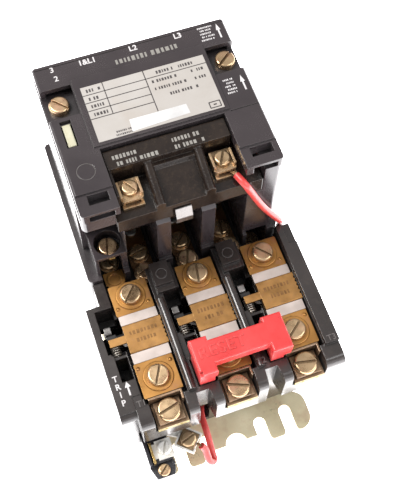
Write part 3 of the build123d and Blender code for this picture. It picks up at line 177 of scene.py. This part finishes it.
def surface(name, base, dark=None, light=None, metallic=0.0, rough=0.45, rough_var=0.12, spec=0.5, coarse=60.0, fine=2200.0,
            bump=0.12, bump_mm=0.06, bevel_mm=0.3, edge_wear_and_highlight=None, edge_wear_and_highlight_amount=0.6, tint=None, tint_scale=180.0, tint_amount=0.6,
            stretch=None, coat=0.0, coat_rough=0.2, sub=0.0, crevice_shade=0.0, crevice_shade_mm=9.0):
    """Procedural surface: coarse and fine colour variation, a second tint in patches, rounded edges painted lighter as
    wear and as a painted highlight, painted shade darkening the crevices, varied gloss and fine relief.
    """
    mat, nt, bsdf = new_material(name)
    tc = nt.nodes.new("ShaderNodeTexCoord")
    co = tc.outputs["Object"]
    dark = dark or tuple(c * 0.78 for c in base)
    light = light or tuple(min(1.0, c * 1.2) for c in base)
    big = noise(nt, co, coarse, 4.0)
    small = noise(nt, co, fine, 3.0, 0.6, stretch)
    color = mix(nt, ramp(nt, big, 0.32, 0.68, 0.0, 1.0), dark, light)
    color = mix(nt, ramp(nt, small, 0.3, 0.7, 0.0, 0.55), color, base)
    if tint:
        patch = noise(nt, co, tint_scale, 5.0, 0.65)
        color = mix(nt, ramp(nt, patch, 0.52, 0.70, 0.0, tint_amount), color, tint)
    bev = nt.nodes.new("ShaderNodeBevel")
    bev.samples = 6
    bev.inputs["Radius"].default_value = bevel_mm * MM
    # Painted highlight and wear: rounded edges turn a lighter colour, broken up by noise; partly real edge wear, partly
    # a painted highlight along the edges.
    if edge_wear_and_highlight:
        geo = nt.nodes.new("ShaderNodeNewGeometry")
        dot = nt.nodes.new("ShaderNodeVectorMath")
        dot.operation = "DOT_PRODUCT"
        nt.links.new(bev.outputs["Normal"], dot.inputs[0])
        nt.links.new(geo.outputs["Normal"], dot.inputs[1])
        edge = ramp(nt, dot.outputs["Value"], 0.99, 0.80, 0.0, 1.0)
        edge_breakup = ramp(nt, noise(nt, co, 420.0, 4.0), 0.42, 0.62, 0.15, 1.0)
        color = mix(nt, math_node(nt, "MULTIPLY", math_node(nt, "MULTIPLY", edge, edge_breakup), edge_wear_and_highlight_amount, True), color, edge_wear_and_highlight)
    # Painted shade: ambient occlusion darkens the base colour in crevices and hollows, and makes them rougher.
    if crevice_shade:
        ao = nt.nodes.new("ShaderNodeAmbientOcclusion")
        ao.samples = 6
        ao.inputs["Distance"].default_value = crevice_shade_mm * MM
        shade = ramp(nt, ao.outputs["AO"], 0.15, 0.75, crevice_shade, 0.0)
        color = mix(nt, shade, color, tuple(c * 0.12 for c in base))
    nt.links.new(color, bsdf.inputs["Base Color"])
    rr = ramp(nt, big, 0.3, 0.7, max(0.03, rough - rough_var), min(1.0, rough + rough_var))
    rr2 = math_node(nt, "ADD", rr, ramp(nt, small, 0.3, 0.7, -rough_var * 0.5, rough_var * 0.5), True)
    if crevice_shade:
        rr2 = math_node(nt, "ADD", rr2, ramp(nt, ao.outputs["AO"], 0.15, 0.6, 0.5 * crevice_shade, 0.0), True)
    nt.links.new(rr2, bsdf.inputs["Roughness"])
    bsdf.inputs["Metallic"].default_value = metallic
    bsdf.inputs["Specular IOR Level"].default_value = spec
    if coat:
        bsdf.inputs["Coat Weight"].default_value = coat
        bsdf.inputs["Coat Roughness"].default_value = coat_rough
    if sub:
        bsdf.inputs["Subsurface Weight"].default_value = sub
        bsdf.inputs["Subsurface Radius"].default_value = (0.002, 0.0008, 0.0005)
    bp = nt.nodes.new("ShaderNodeBump")
    bp.inputs["Strength"].default_value = bump
    bp.inputs["Distance"].default_value = bump_mm * MM
    nt.links.new(small, bp.inputs["Height"])
    nt.links.new(bev.outputs["Normal"], bp.inputs["Normal"])
    nt.links.new(bp.outputs["Normal"], bsdf.inputs["Normal"])
    return mat


MAT = {
    "zinc_plate": surface("zinc_plate", (0.80, 0.70, 0.45), (0.66, 0.57, 0.36), (0.88, 0.80, 0.56), 0.30, 0.40, 0.12, coarse=60, fine=900,
                          bump=0.18, tint=(0.60, 0.43, 0.27), tint_scale=90, tint_amount=0.6, edge_wear_and_highlight=(0.75, 0.7, 0.55), bevel_mm=0.35),
    "phenolic": surface("phenolic", (0.034, 0.026, 0.028), (0.027, 0.021, 0.023), (0.041, 0.032, 0.034), rough=0.24, rough_var=0.07, spec=0.62,
                        coarse=45, fine=2600, bump=0.16, bump_mm=0.03, edge_wear_and_highlight=(0.11, 0.095, 0.09), bevel_mm=0.4, edge_wear_and_highlight_amount=0.6, crevice_shade=0.85),
    "phenolic_brown": surface("phenolic_brown", (0.028, 0.022, 0.020), (0.020, 0.016, 0.015), (0.035, 0.027, 0.025), rough=0.20, rough_var=0.05,
                              spec=0.72, coarse=60, fine=2300, bump=0.10, bump_mm=0.03, edge_wear_and_highlight=(0.10, 0.08, 0.07), bevel_mm=0.4, edge_wear_and_highlight_amount=0.6,
                              tint=(0.045, 0.036, 0.030), tint_scale=300, tint_amount=0.4, crevice_shade=0.8),
    "phenolic_base": surface("phenolic_base", (0.026, 0.025, 0.029), rough=0.24, rough_var=0.08, spec=0.6, coarse=60, fine=2300, bump=0.2,
                             bump_mm=0.03, edge_wear_and_highlight=(0.12, 0.12, 0.13), bevel_mm=0.35, edge_wear_and_highlight_amount=0.6, crevice_shade=0.6),
    "phenolic_dark": surface("phenolic_dark", (0.014, 0.012, 0.012), rough=0.45, coarse=60, fine=2300, bump=0.2, bump_mm=0.03,
                             edge_wear_and_highlight=(0.05, 0.045, 0.04), bevel_mm=0.3, crevice_shade=0.8),
    "coil_resin": surface("coil_resin", (0.015, 0.0095, 0.0075), (0.010, 0.007, 0.006), (0.022, 0.014, 0.010), rough=0.17, rough_var=0.07, spec=0.42,
                          coarse=90, fine=1500, bump=0.5, bump_mm=0.07, edge_wear_and_highlight=(0.12, 0.09, 0.07), bevel_mm=0.5, edge_wear_and_highlight_amount=0.45,
                          tint=(0.050, 0.034, 0.022), tint_scale=650, tint_amount=0.4, crevice_shade=0.5, crevice_shade_mm=4.0),
    "zinc_screw": surface("zinc_screw", (0.53, 0.36, 0.20), (0.42, 0.27, 0.15), (0.62, 0.46, 0.28), 0.9, 0.30, 0.12, coarse=160, fine=2500,
                          bump=0.2, bump_mm=0.03, tint=(0.52, 0.27, 0.19), tint_scale=150, tint_amount=0.65, edge_wear_and_highlight=(0.80, 0.68, 0.48),
                          bevel_mm=0.22, edge_wear_and_highlight_amount=0.5, crevice_shade=0.9, crevice_shade_mm=1.6),
    "clamp_brass": surface("clamp_brass", (0.58, 0.40, 0.15), (0.46, 0.30, 0.10), (0.70, 0.50, 0.20), 0.95, 0.30, 0.10, coarse=120, fine=2400,
                           bump=0.2, bump_mm=0.03, tint=(0.52, 0.31, 0.15), tint_scale=220, tint_amount=0.5, edge_wear_and_highlight=(0.85, 0.70, 0.36), bevel_mm=0.22,
                           crevice_shade=0.85, crevice_shade_mm=5.0),
    "heater_brass": surface("heater_brass", (0.40, 0.195, 0.055), (0.30, 0.145, 0.040), (0.48, 0.25, 0.075), 0.85, 0.42, 0.10, coarse=110, fine=1800,
                            bump=0.25, bump_mm=0.03, tint=(0.38, 0.19, 0.10), tint_scale=240, tint_amount=0.6, edge_wear_and_highlight=(0.78, 0.56, 0.26), bevel_mm=0.2,
                            crevice_shade=0.85, crevice_shade_mm=1.4),
    "heater_band": surface("heater_band", (0.56, 0.48, 0.44), (0.50, 0.43, 0.39), (0.62, 0.54, 0.50), 0.55, 0.42, 0.08, coarse=120, fine=1500,
                           bump=0.35, bump_mm=0.03, tint=(0.50, 0.42, 0.36), tint_scale=500, tint_amount=0.4, edge_wear_and_highlight=(0.8, 0.75, 0.7), bevel_mm=0.15,
                           stretch=(1.0, 6.0, 1.0)),
    "heater_core": surface("heater_core", (0.37, 0.19, 0.065), (0.28, 0.145, 0.048), (0.45, 0.245, 0.085), 0.85, 0.42, 0.10, coarse=140, fine=1600,
                           bump=0.3, bump_mm=0.04, tint=(0.33, 0.18, 0.08), tint_scale=380, tint_amount=0.6, edge_wear_and_highlight=(0.75, 0.54, 0.28), bevel_mm=0.2,
                           crevice_shade=0.5, crevice_shade_mm=2.0),
    "copper_strip": surface("copper_strip", (0.36, 0.20, 0.10), metallic=0.9, rough=0.36, coarse=120, fine=2000, bump=0.2, bump_mm=0.03,
                            tint=(0.22, 0.12, 0.07), tint_scale=260, edge_wear_and_highlight=(0.75, 0.5, 0.34), bevel_mm=0.18, crevice_shade=0.95, crevice_shade_mm=8.0),
    "silver_tip": surface("silver_tip", (0.70, 0.69, 0.66), metallic=0.9, rough=0.35, coarse=200, fine=2500, bump=0.3, bump_mm=0.03,
                          tint=(0.25, 0.23, 0.2), tint_scale=600, bevel_mm=0.2),
    "magnet_iron": surface("magnet_iron", (0.20, 0.19, 0.18), metallic=0.8, rough=0.42, coarse=80, fine=500, bump=0.5, bump_mm=0.06,
                           stretch=(0.2, 9.0, 0.2), tint=(0.16, 0.11, 0.07), tint_scale=200, edge_wear_and_highlight=(0.5, 0.48, 0.45), crevice_shade=0.8),
    "pin_steel": surface("pin_steel", (0.5, 0.5, 0.5), metallic=0.95, rough=0.28, coarse=120, fine=2200, bump=0.15, tint=(0.4, 0.36, 0.3)),
    "spring_wire": surface("spring_wire", (0.46, 0.42, 0.37), metallic=0.85, rough=0.34, coarse=200, fine=2500, bump=0.2, bevel_mm=0.08,
                           tint=(0.34, 0.30, 0.26), tint_scale=400),
    "clip_steel": surface("clip_steel", (0.24, 0.23, 0.225), (0.16, 0.15, 0.145), (0.32, 0.31, 0.30), metallic=0.95, rough=0.34, coarse=120, fine=2500, bump=0.15, bump_mm=0.03,
                          tint=(0.22, 0.20, 0.18), tint_scale=300, tint_amount=0.4, bevel_mm=0.2),
    "pad_rubber": surface("pad_rubber", (0.02, 0.02, 0.02), rough=0.8, bump=0.4, bump_mm=0.05),
    "cream_plastic": surface("cream_plastic", (0.52, 0.50, 0.36), (0.46, 0.43, 0.30), (0.56, 0.55, 0.43), rough=0.42, coarse=120, fine=1800, bump=0.15,
                             tint=(0.40, 0.35, 0.20), tint_scale=260, tint_amount=0.4, bevel_mm=0.25),
    "red_plastic": surface("red_plastic", (0.60, 0.045, 0.044), (0.52, 0.034, 0.034), (0.66, 0.056, 0.054), rough=0.34, rough_var=0.07, coarse=90,
                           fine=1300, bump=0.25, bump_mm=0.04, edge_wear_and_highlight=(0.92, 0.28, 0.25), bevel_mm=0.45, edge_wear_and_highlight_amount=0.5, sub=0.08),
    "wire_red": surface("wire_red", (0.58, 0.055, 0.050), (0.51, 0.043, 0.040), (0.64, 0.07, 0.062), rough=0.33, rough_var=0.06, coarse=150,
                        fine=1300, bump=0.15, bump_mm=0.03, bevel_mm=0.1, sub=0.08),
    "label_card": surface("label_card", (0.40, 0.37, 0.345), (0.375, 0.345, 0.315), (0.42, 0.395, 0.37), rough=0.38, rough_var=0.05, coarse=70,
                          fine=900, bump=0.08, bump_mm=0.02, tint=(0.37, 0.325, 0.285), tint_scale=60, tint_amount=0.5, bevel_mm=0.1),
    "paint_white": surface("paint_white", (0.62, 0.60, 0.60), (0.50, 0.47, 0.47), (0.70, 0.68, 0.68), rough=0.5, coarse=500, fine=4000, bump=0.1,
                           tint=(0.30, 0.27, 0.27), tint_scale=1800, tint_amount=0.45, bevel_mm=0.05),
    "paint_grey": surface("paint_grey", (0.25, 0.235, 0.21), (0.19, 0.18, 0.165), (0.30, 0.285, 0.26), rough=0.5, coarse=500, fine=4000, bump=0.1,
                          tint=(0.14, 0.12, 0.11), tint_scale=1500, tint_amount=0.6, bevel_mm=0.05),
    "ink_black": surface("ink_black", (0.045, 0.038, 0.038), rough=0.5, coarse=600, fine=4000, bump=0.05, tint=(0.10, 0.09, 0.09), tint_scale=1500,
                         bevel_mm=0.05),
    "sticker_white": surface("sticker_white", (0.56, 0.555, 0.55), rough=0.55, coarse=60, fine=1500, bump=0.2, bump_mm=0.02,
                             tint=(0.52, 0.505, 0.495), tint_scale=90, bevel_mm=0.1),
    "stamp_dark": surface("stamp_dark", (0.22, 0.115, 0.045), metallic=0.8, rough=0.45, coarse=300, fine=3000, bump=0.15, bump_mm=0.02,
                          tint=(0.38, 0.21, 0.08), tint_scale=1200, tint_amount=0.6, bevel_mm=0.05),
    "silver_zinc": surface("silver_zinc", (0.86, 0.84, 0.79), (0.78, 0.75, 0.69), (0.91, 0.90, 0.87), 0.15, 0.30, 0.10, coarse=200, fine=2500,
                           bump=0.12, bump_mm=0.02, tint=(0.62, 0.52, 0.38), tint_scale=300, tint_amount=0.45, edge_wear_and_highlight=(0.9, 0.88, 0.82), bevel_mm=0.15),
    "load_zinc": surface("load_zinc", (0.34, 0.225, 0.14), (0.27, 0.175, 0.105), (0.41, 0.28, 0.18), 0.9, 0.34, 0.10, coarse=120, fine=2400,
                         bump=0.2, bump_mm=0.03, tint=(0.36, 0.20, 0.12), tint_scale=220, tint_amount=0.5, edge_wear_and_highlight=(0.80, 0.66, 0.56), edge_wear_and_highlight_amount=0.9,
                         bevel_mm=0.35, crevice_shade=0.7, crevice_shade_mm=4.0),
    "lip_brass": surface("lip_brass", (0.30, 0.235, 0.070), (0.22, 0.165, 0.046), (0.38, 0.31, 0.11), 0.9, 0.40, 0.10, coarse=160, fine=2000,
                         bump=0.25, bump_mm=0.03, tint=(0.16, 0.105, 0.04), tint_scale=400, tint_amount=0.5, edge_wear_and_highlight=(0.5, 0.44, 0.26), bevel_mm=0.2),
    "mould_mark": surface("mould_mark", (0.105, 0.092, 0.088), rough=0.5, coarse=300, fine=3000, bump=0.1, bevel_mm=0.05,
                          tint=(0.05, 0.04, 0.04), tint_scale=900),
}

fmat, fnt, fb = new_material("floor_white")
ftc = fnt.nodes.new("ShaderNodeTexCoord")
fcol = mix(fnt, ramp(fnt, noise(fnt, ftc.outputs["Object"], 3.0, 2.0), 0.3, 0.7, 0.0, 1.0), (0.90, 0.895, 0.895), (0.92, 0.92, 0.92))
fnt.links.new(fcol, fb.inputs["Base Color"])
fb.inputs["Roughness"].default_value = 0.7
fb.inputs["Specular IOR Level"].default_value = 0.2
fb.inputs["Emission Color"].default_value = (1.0, 0.985, 1.0, 1.0)
fb.inputs["Emission Strength"].default_value = 3.4
floor.data.materials.append(fmat)

# every CAD node gets its slot's surface
for sp in frame["record"]["subparts"]:
    o = nodes[sp["node"]]
    o.data.materials.clear()
    o.data.materials.append(MAT[sp["material_slot"]])
    for p in o.data.polygons:
        p.material_index = 0



def split_material(node, second, test):
    """A second surface on the faces of one CAD node whose centre passes a test, in mm."""
    me = nodes[node].data
    me.materials.append(MAT[second])
    k = len(me.materials) - 1
    for p in me.polygons:
        if test(p.center.x / MM, p.center.y / MM, p.center.z / MM):
            p.material_index = k


def set_material(node, name):
    me = nodes[node].data
    me.materials.clear()
    me.materials.append(MAT[name])


set_material("load_terminals", "load_zinc")
split_material("load_terminals", "lip_brass", lambda x, y, z: y < -65.3)
set_material("control_terminal", "silver_zinc")
split_material("control_terminal", "clamp_brass", lambda x, y, z: x < -38.5)
split_material("control_screws", "silver_zinc", lambda x, y, z: x < -29.0 and y > -72.0)
set_material("wire_terminal", "silver_zinc")
split_material("wire_clamps", "load_zinc", lambda x, y, z: y < -50.0)
split_material("wire_clamps", "heater_brass", lambda x, y, z: x < -27.0 and -50.0 < y < 10.0)

# --------------------------------------------------------------- mesh tools
_trees = {}


def tree(node):
    if node not in _trees:
        me = nodes[node].data
        _trees[node] = BVHTree.FromPolygons([v.co.copy() for v in me.vertices], [tuple(p.vertices) for p in me.polygons])
    return _trees[node]


def top(node, x, y, default=None):
    """Height in mm of the highest face of a CAD node at (x, y), in mm."""
    hit = tree(node).ray_cast(Vector((x * MM, y * MM, 0.2)), Vector((0, 0, -1)))
    if hit[0] is None:
        return default
    return hit[0].z / MM


BODY = {}
for b, members in frame["record"]["behaviour"]["bodies"].items():
    for n in members:
        BODY[n] = b
ROOT = BODY["mounting_plate"]


def add_piece(name, mesh, material, body):
    o = bpy.data.objects.new(name, mesh)
    scene.collection.objects.link(o)
    mesh.materials.clear()
    mesh.materials.append(material)
    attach(o, body)
    return o


def flat_mesh(name, polys, z0, z1):
    """Thin plates from outlines in mm, between two heights in mm."""
    bm = bmesh.new()
    for pts in polys:
        a = [bm.verts.new((x * MM, y * MM, z1 * MM)) for x, y in pts]
        b = [bm.verts.new((x * MM, y * MM, z0 * MM)) for x, y in pts]
        bm.faces.new(a)
        bm.faces.new(list(reversed(b)))
        n = len(pts)
        for i in range(n):
            bm.faces.new((a[i], b[i], b[(i + 1) % n], a[(i + 1) % n]))
    bmesh.ops.recalc_face_normals(bm, faces=bm.faces)
    me = bpy.data.meshes.new(name)
    bm.to_mesh(me)
    bm.free()
    return me


def rect(cx, cy, w, h, ang=0.0):
    c, s = math.cos(math.radians(ang)), math.sin(math.radians(ang))
    return [(cx + x * c - y * s, cy + x * s + y * c) for x, y in ((-w / 2, -h / 2), (w / 2, -h / 2), (w / 2, h / 2), (-w / 2, h / 2))]


def line(x0, y0, x1, y1, w):
    d = math.hypot(x1 - x0, y1 - y0)
    return rect((x0 + x1) / 2, (y0 + y1) / 2, d, w, math.degrees(math.atan2(y1 - y0, x1 - x0)))


def words(name, s, x, y, z, size, body, material, height=0.06, ang=0.0, bold=0.0, squeeze=1.0, spacing=1.0):
    """Raised or printed characters, as a mesh, centred at (x, y), cap height about 0.7 of size, all in mm."""
    cu = bpy.data.curves.new(name, "FONT")
    cu.body = s
    cu.align_x = "CENTER"
    cu.align_y = "CENTER"
    cu.size = size * MM
    cu.extrude = height * MM / 2
    cu.offset = bold * MM
    cu.space_character = spacing
    cu.resolution_u = 4
    tmp = bpy.data.objects.new(name + "_tmp", cu)
    scene.collection.objects.link(tmp)
    bpy.context.view_layer.update()
    me = bpy.data.meshes.new_from_object(tmp)
    bpy.data.objects.remove(tmp)
    me.name = name
    me.transform(Matrix.Translation((x * MM, y * MM, (z + height / 2) * MM)) @ Matrix.Rotation(math.radians(ang), 4, "Z") @ Matrix.Diagonal((squeeze, 1, 1, 1)))
    return add_piece(name, me, material, body)


def ring_poly(cx, cy, r, w, n=40):
    """Segments of a thin ring."""
    out = []
    for i in range(n):
        a, b = 2 * math.pi * i / n, 2 * math.pi * (i + 1) / n
        out.append([(cx + (r - w / 2) * math.cos(a), cy + (r - w / 2) * math.sin(a)), (cx + (r + w / 2) * math.cos(a), cy + (r + w / 2) * math.sin(a)),
                    (cx + (r + w / 2) * math.cos(b), cy + (r + w / 2) * math.sin(b)), (cx + (r - w / 2) * math.cos(b), cy + (r - w / 2) * math.sin(b))])
    return out


def dashes(x0, x1, y, h, gap=0.35, seed=1, ang=0.0):
    """A row of plain upright bars of uneven width, standing where a line of small print would be."""
    r = random.Random(seed)
    out = []
    x = x0
    while x < x1 - 0.2:
        w = r.uniform(0.28, 0.62) * h
        if r.random() < 0.16:
            x += h * 0.45
            continue
        out.append(rect(x + w / 2, y, w, h * r.uniform(0.82, 1.0), ang))
        x += w + gap * h
    return out


# ------------------------------------------------------------ cover marking
COV = top("front_cover", 0, 66.0)
PAN = top("nameplate", 0, 45.0)
FRAME_Z = top("front_cover", 27.3, 45.0)
print("heights", COV, PAN, FRAME_Z)

words("mark_L1", "1&L1", -18.4, 69.3, COV, 3.5, ROOT, MAT["paint_white"], bold=0.10)
words("mark_L2", "L2", 1.1, 69.7, COV, 3.5, ROOT, MAT["paint_white"], bold=0.10)
words("mark_L3", "L3", 20.3, 69.8, COV, 3.5, ROOT, MAT["paint_white"], bold=0.10)
words("mark_3", "3", -33.0, 69.6, COV, 3.5, ROOT, MAT["paint_white"], bold=0.06)
words("mark_2", "2", -32.4, 65.0, COV, 3.5, ROOT, MAT["paint_white"], bold=0.06)

bars = []
# heading above the plate, and small notes beside the arrows
head = dashes(-7.6, 19.2, 65.2, 2.5, 0.30, 3)
for i, y in enumerate((70.4, 68.9, 67.3, 65.7, 64.1)):
    bars += dashes(29.0 + (i % 2) * 0.7, 35.2 - (i % 3) * 0.5, y, 0.85, 0.3, 20 + i)
for i, y in enumerate((42.8, 41.2, 39.6, 38.0, 36.5)):
    bars += dashes(30.2 + (i % 2) * 0.6, 34.9 - (i % 3) * 0.4, y, 0.85, 0.3, 30 + i)
add_piece("cover_print", flat_mesh("cover_print", bars, COV - 0.02, COV + 0.03), MAT["paint_white"], ROOT)
add_piece("cover_heading", flat_mesh("cover_heading", head, COV - 0.02, COV + 0.03), MAT["paint_grey"], ROOT)


def arrow(cx, y0, y1, w_stem, w_head, l_head, slant=0.0):
    d = slant
    return [[(cx - w_stem / 2, y0), (cx + w_stem / 2, y0), (cx + w_stem / 2 + d, y1 - l_head), (cx - w_stem / 2 + d, y1 - l_head)],
            [(cx - w_head / 2 + d, y1 - l_head), (cx + w_head / 2 + d, y1 - l_head), (cx + d, y1)]]


add_piece("cover_arrows", flat_mesh("cover_arrows", arrow(37.3, 63.4, 70.7, 0.7, 1.9, 3.2) + arrow(37.8, 36.1, 43.4, 0.7, 1.9, 3.2),
                                    COV - 0.02, COV + 0.03), MAT["paint_white"], ROOT)

# nameplate: ruled table, blank boxes, small boxed mark and a blank sticker
P = PAN
rules = [line(-24.9, 52.9, 26.6, 52.9, 0.36), line(-24.9, 49.2, 1.1, 49.2, 0.36), line(-24.9, 45.4, 1.1, 45.4, 0.36), line(-24.9, 41.5, 1.1, 41.5, 0.36),
         line(-15.9, 57.0, -15.9, 41.5, 0.36), line(1.1, 57.0, 1.1, 36.9, 0.40)]
rules += [line(21.2, 34.2, 25.6, 34.2, 0.42), line(21.2, 31.5, 25.6, 31.5, 0.42), line(21.2, 34.3, 21.2, 31.4, 0.42), line(25.6, 34.3, 25.6, 31.4, 0.42)]
text = dashes(6.0, 21.6, 54.7, 1.5, 0.3, 5)
text += dashes(3.1, 13.2, 50.8, 1.45, 0.3, 6) + dashes(18.2, 24.7, 50.9, 1.45, 0.3, 7)
text += dashes(3.2, 16.5, 47.2, 1.45, 0.3, 8) + dashes(19.9, 24.4, 47.1, 1.45, 0.3, 9)
text += dashes(8.3, 19.9, 43.3, 1.45, 0.3, 10)
for y, x1, sd in ((54.8, -17.8, 11), (50.8, -18.6, 12), (47.2, -17.9, 13), (43.3, -17.2, 14)):
    text += dashes(-23.0, x1, y, 1.6, 0.3, sd)
text += dashes(-18.4, -11.4, 33.0, 0.9, 0.3, 15) + dashes(-17.6, -11.0, 31.5, 0.9, 0.3, 16)
text += [rect(23.4, 32.85, 1.3, 0.6)]
add_piece("plate_rules", flat_mesh("plate_rules", rules, P - 0.02, P + 0.04), MAT["ink_black"], ROOT)
add_piece("plate_print", flat_mesh("plate_print", text, P - 0.02, P + 0.04), MAT["ink_black"], ROOT)

# marking on the coil's band, and ring marks of the mould
BAND = top("coil_body", 0, 24.0)
band = dashes(-22.0, -11.8, 24.0, 2.0, 0.25, 41) + dashes(-21.8, -5.2, 20.9, 2.0, 0.25, 42) + dashes(2.4, 14.6, 24.3, 2.0, 0.25, 43) + dashes(2.6, 15.0, 21.0, 2.0, 0.25, 44)
add_piece("coil_print", flat_mesh("coil_print", band, BAND - 0.02, BAND + 0.02), MAT["paint_grey"], ROOT)

rings = ring_poly(-33.3, 20.4, 3.55, 0.22)
add_piece("cover_ring", flat_mesh("cover_ring", rings, COV - 0.35, COV - 0.02), MAT["mould_mark"], ROOT)

# ------------------------------------------------------ overload relay marks
LEDGE = top("overload_housing", -45.2, -46.0)
for i, (ch, x, y) in enumerate((("T", -45.4, -42.4), ("R", -45.25, -46.0), ("I", -45.1, -49.5), ("P", -44.95, -53.1))):
    words(f"mark_trip_{i}", ch, x, y, top("overload_housing", x, y, LEDGE), 3.5, ROOT, MAT["paint_white"], bold=0.08)
az = top("overload_housing", -41.5, -48.0, LEDGE)
add_piece("trip_arrow", flat_mesh("trip_arrow", arrow(-41.4, -50.7, -44.6, 0.75, 2.5, 2.5), az - 0.02, az + 0.04), MAT["paint_white"], ROOT)

pads = []
for x, y in ((-12.9, -5.2), (17.35, -5.2)):
    z = top("overload_housing", x, y)
    add_piece(f"pad_ring_{'a' if x < 0 else 'b'}", flat_mesh("pad_ring", ring_poly(x, y, 2.35, 0.2), z - 0.02, z + 0.05), MAT["mould_mark"], ROOT)

for s, x in (("T1", -38.2), ("T2", 13.8), ("T3", 45.4)):
    z = top("overload_housing", x, -55.3)
    words("mould_" + s, s, x, -55.3, z - 0.02, 3.7, ROOT, MAT["mould_mark"], height=0.12, bold=0.03)

# embossed word on the reset bar
RZ = top("reset_bar", 6.0, -47.5)
words("reset_word", "RESET", -1.0, -47.4, RZ - 0.02, 7.0, "reset", MAT["red_plastic"], height=0.34, bold=0.12, spacing=1.12)

# stamped rows on the heaters' middle plates, plain uneven strokes
for k, hx in enumerate((-28.1, 2.15, 32.4)):
    z = top("heater_cores", hx, -27.4)
    stamp = dashes(hx - 5.6, hx + 5.8, -25.2, 1.9, 0.34, 60 + k) + dashes(hx - 3.6, hx + 4.4, -29.0, 1.9, 0.34, 70 + k)
    add_piece(f"core_stamp_{k + 1}", flat_mesh(f"core_stamp_{k + 1}", stamp, z - 0.02, z + 0.05), MAT["stamp_dark"], ROOT)

# ------------------------------------------------------------------- sticker
stk = [[(-11.2, 31.2), (12.9, 32.2), (12.6, 36.7), (-10.8, 36.8)]]
add_piece("plate_sticker", flat_mesh("plate_sticker", stk, P - 0.01, P + 0.07), MAT["sticker_white"], ROOT)

# ------------------------------------------------- springs, copied onto their bodies
def live_spring(node):
    """The coil of a CAD spring, as its own copy, hung from the part that presses it and moving whole with it; the CAD
    original is hidden.
    """
    o = bpy.data.objects.new(node + "_coil", nodes[node].data.copy())
    scene.collection.objects.link(o)
    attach(o, BODY[node])
    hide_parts(node)
    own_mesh(o)


live_spring("return_springs")
live_spring("reset_spring")
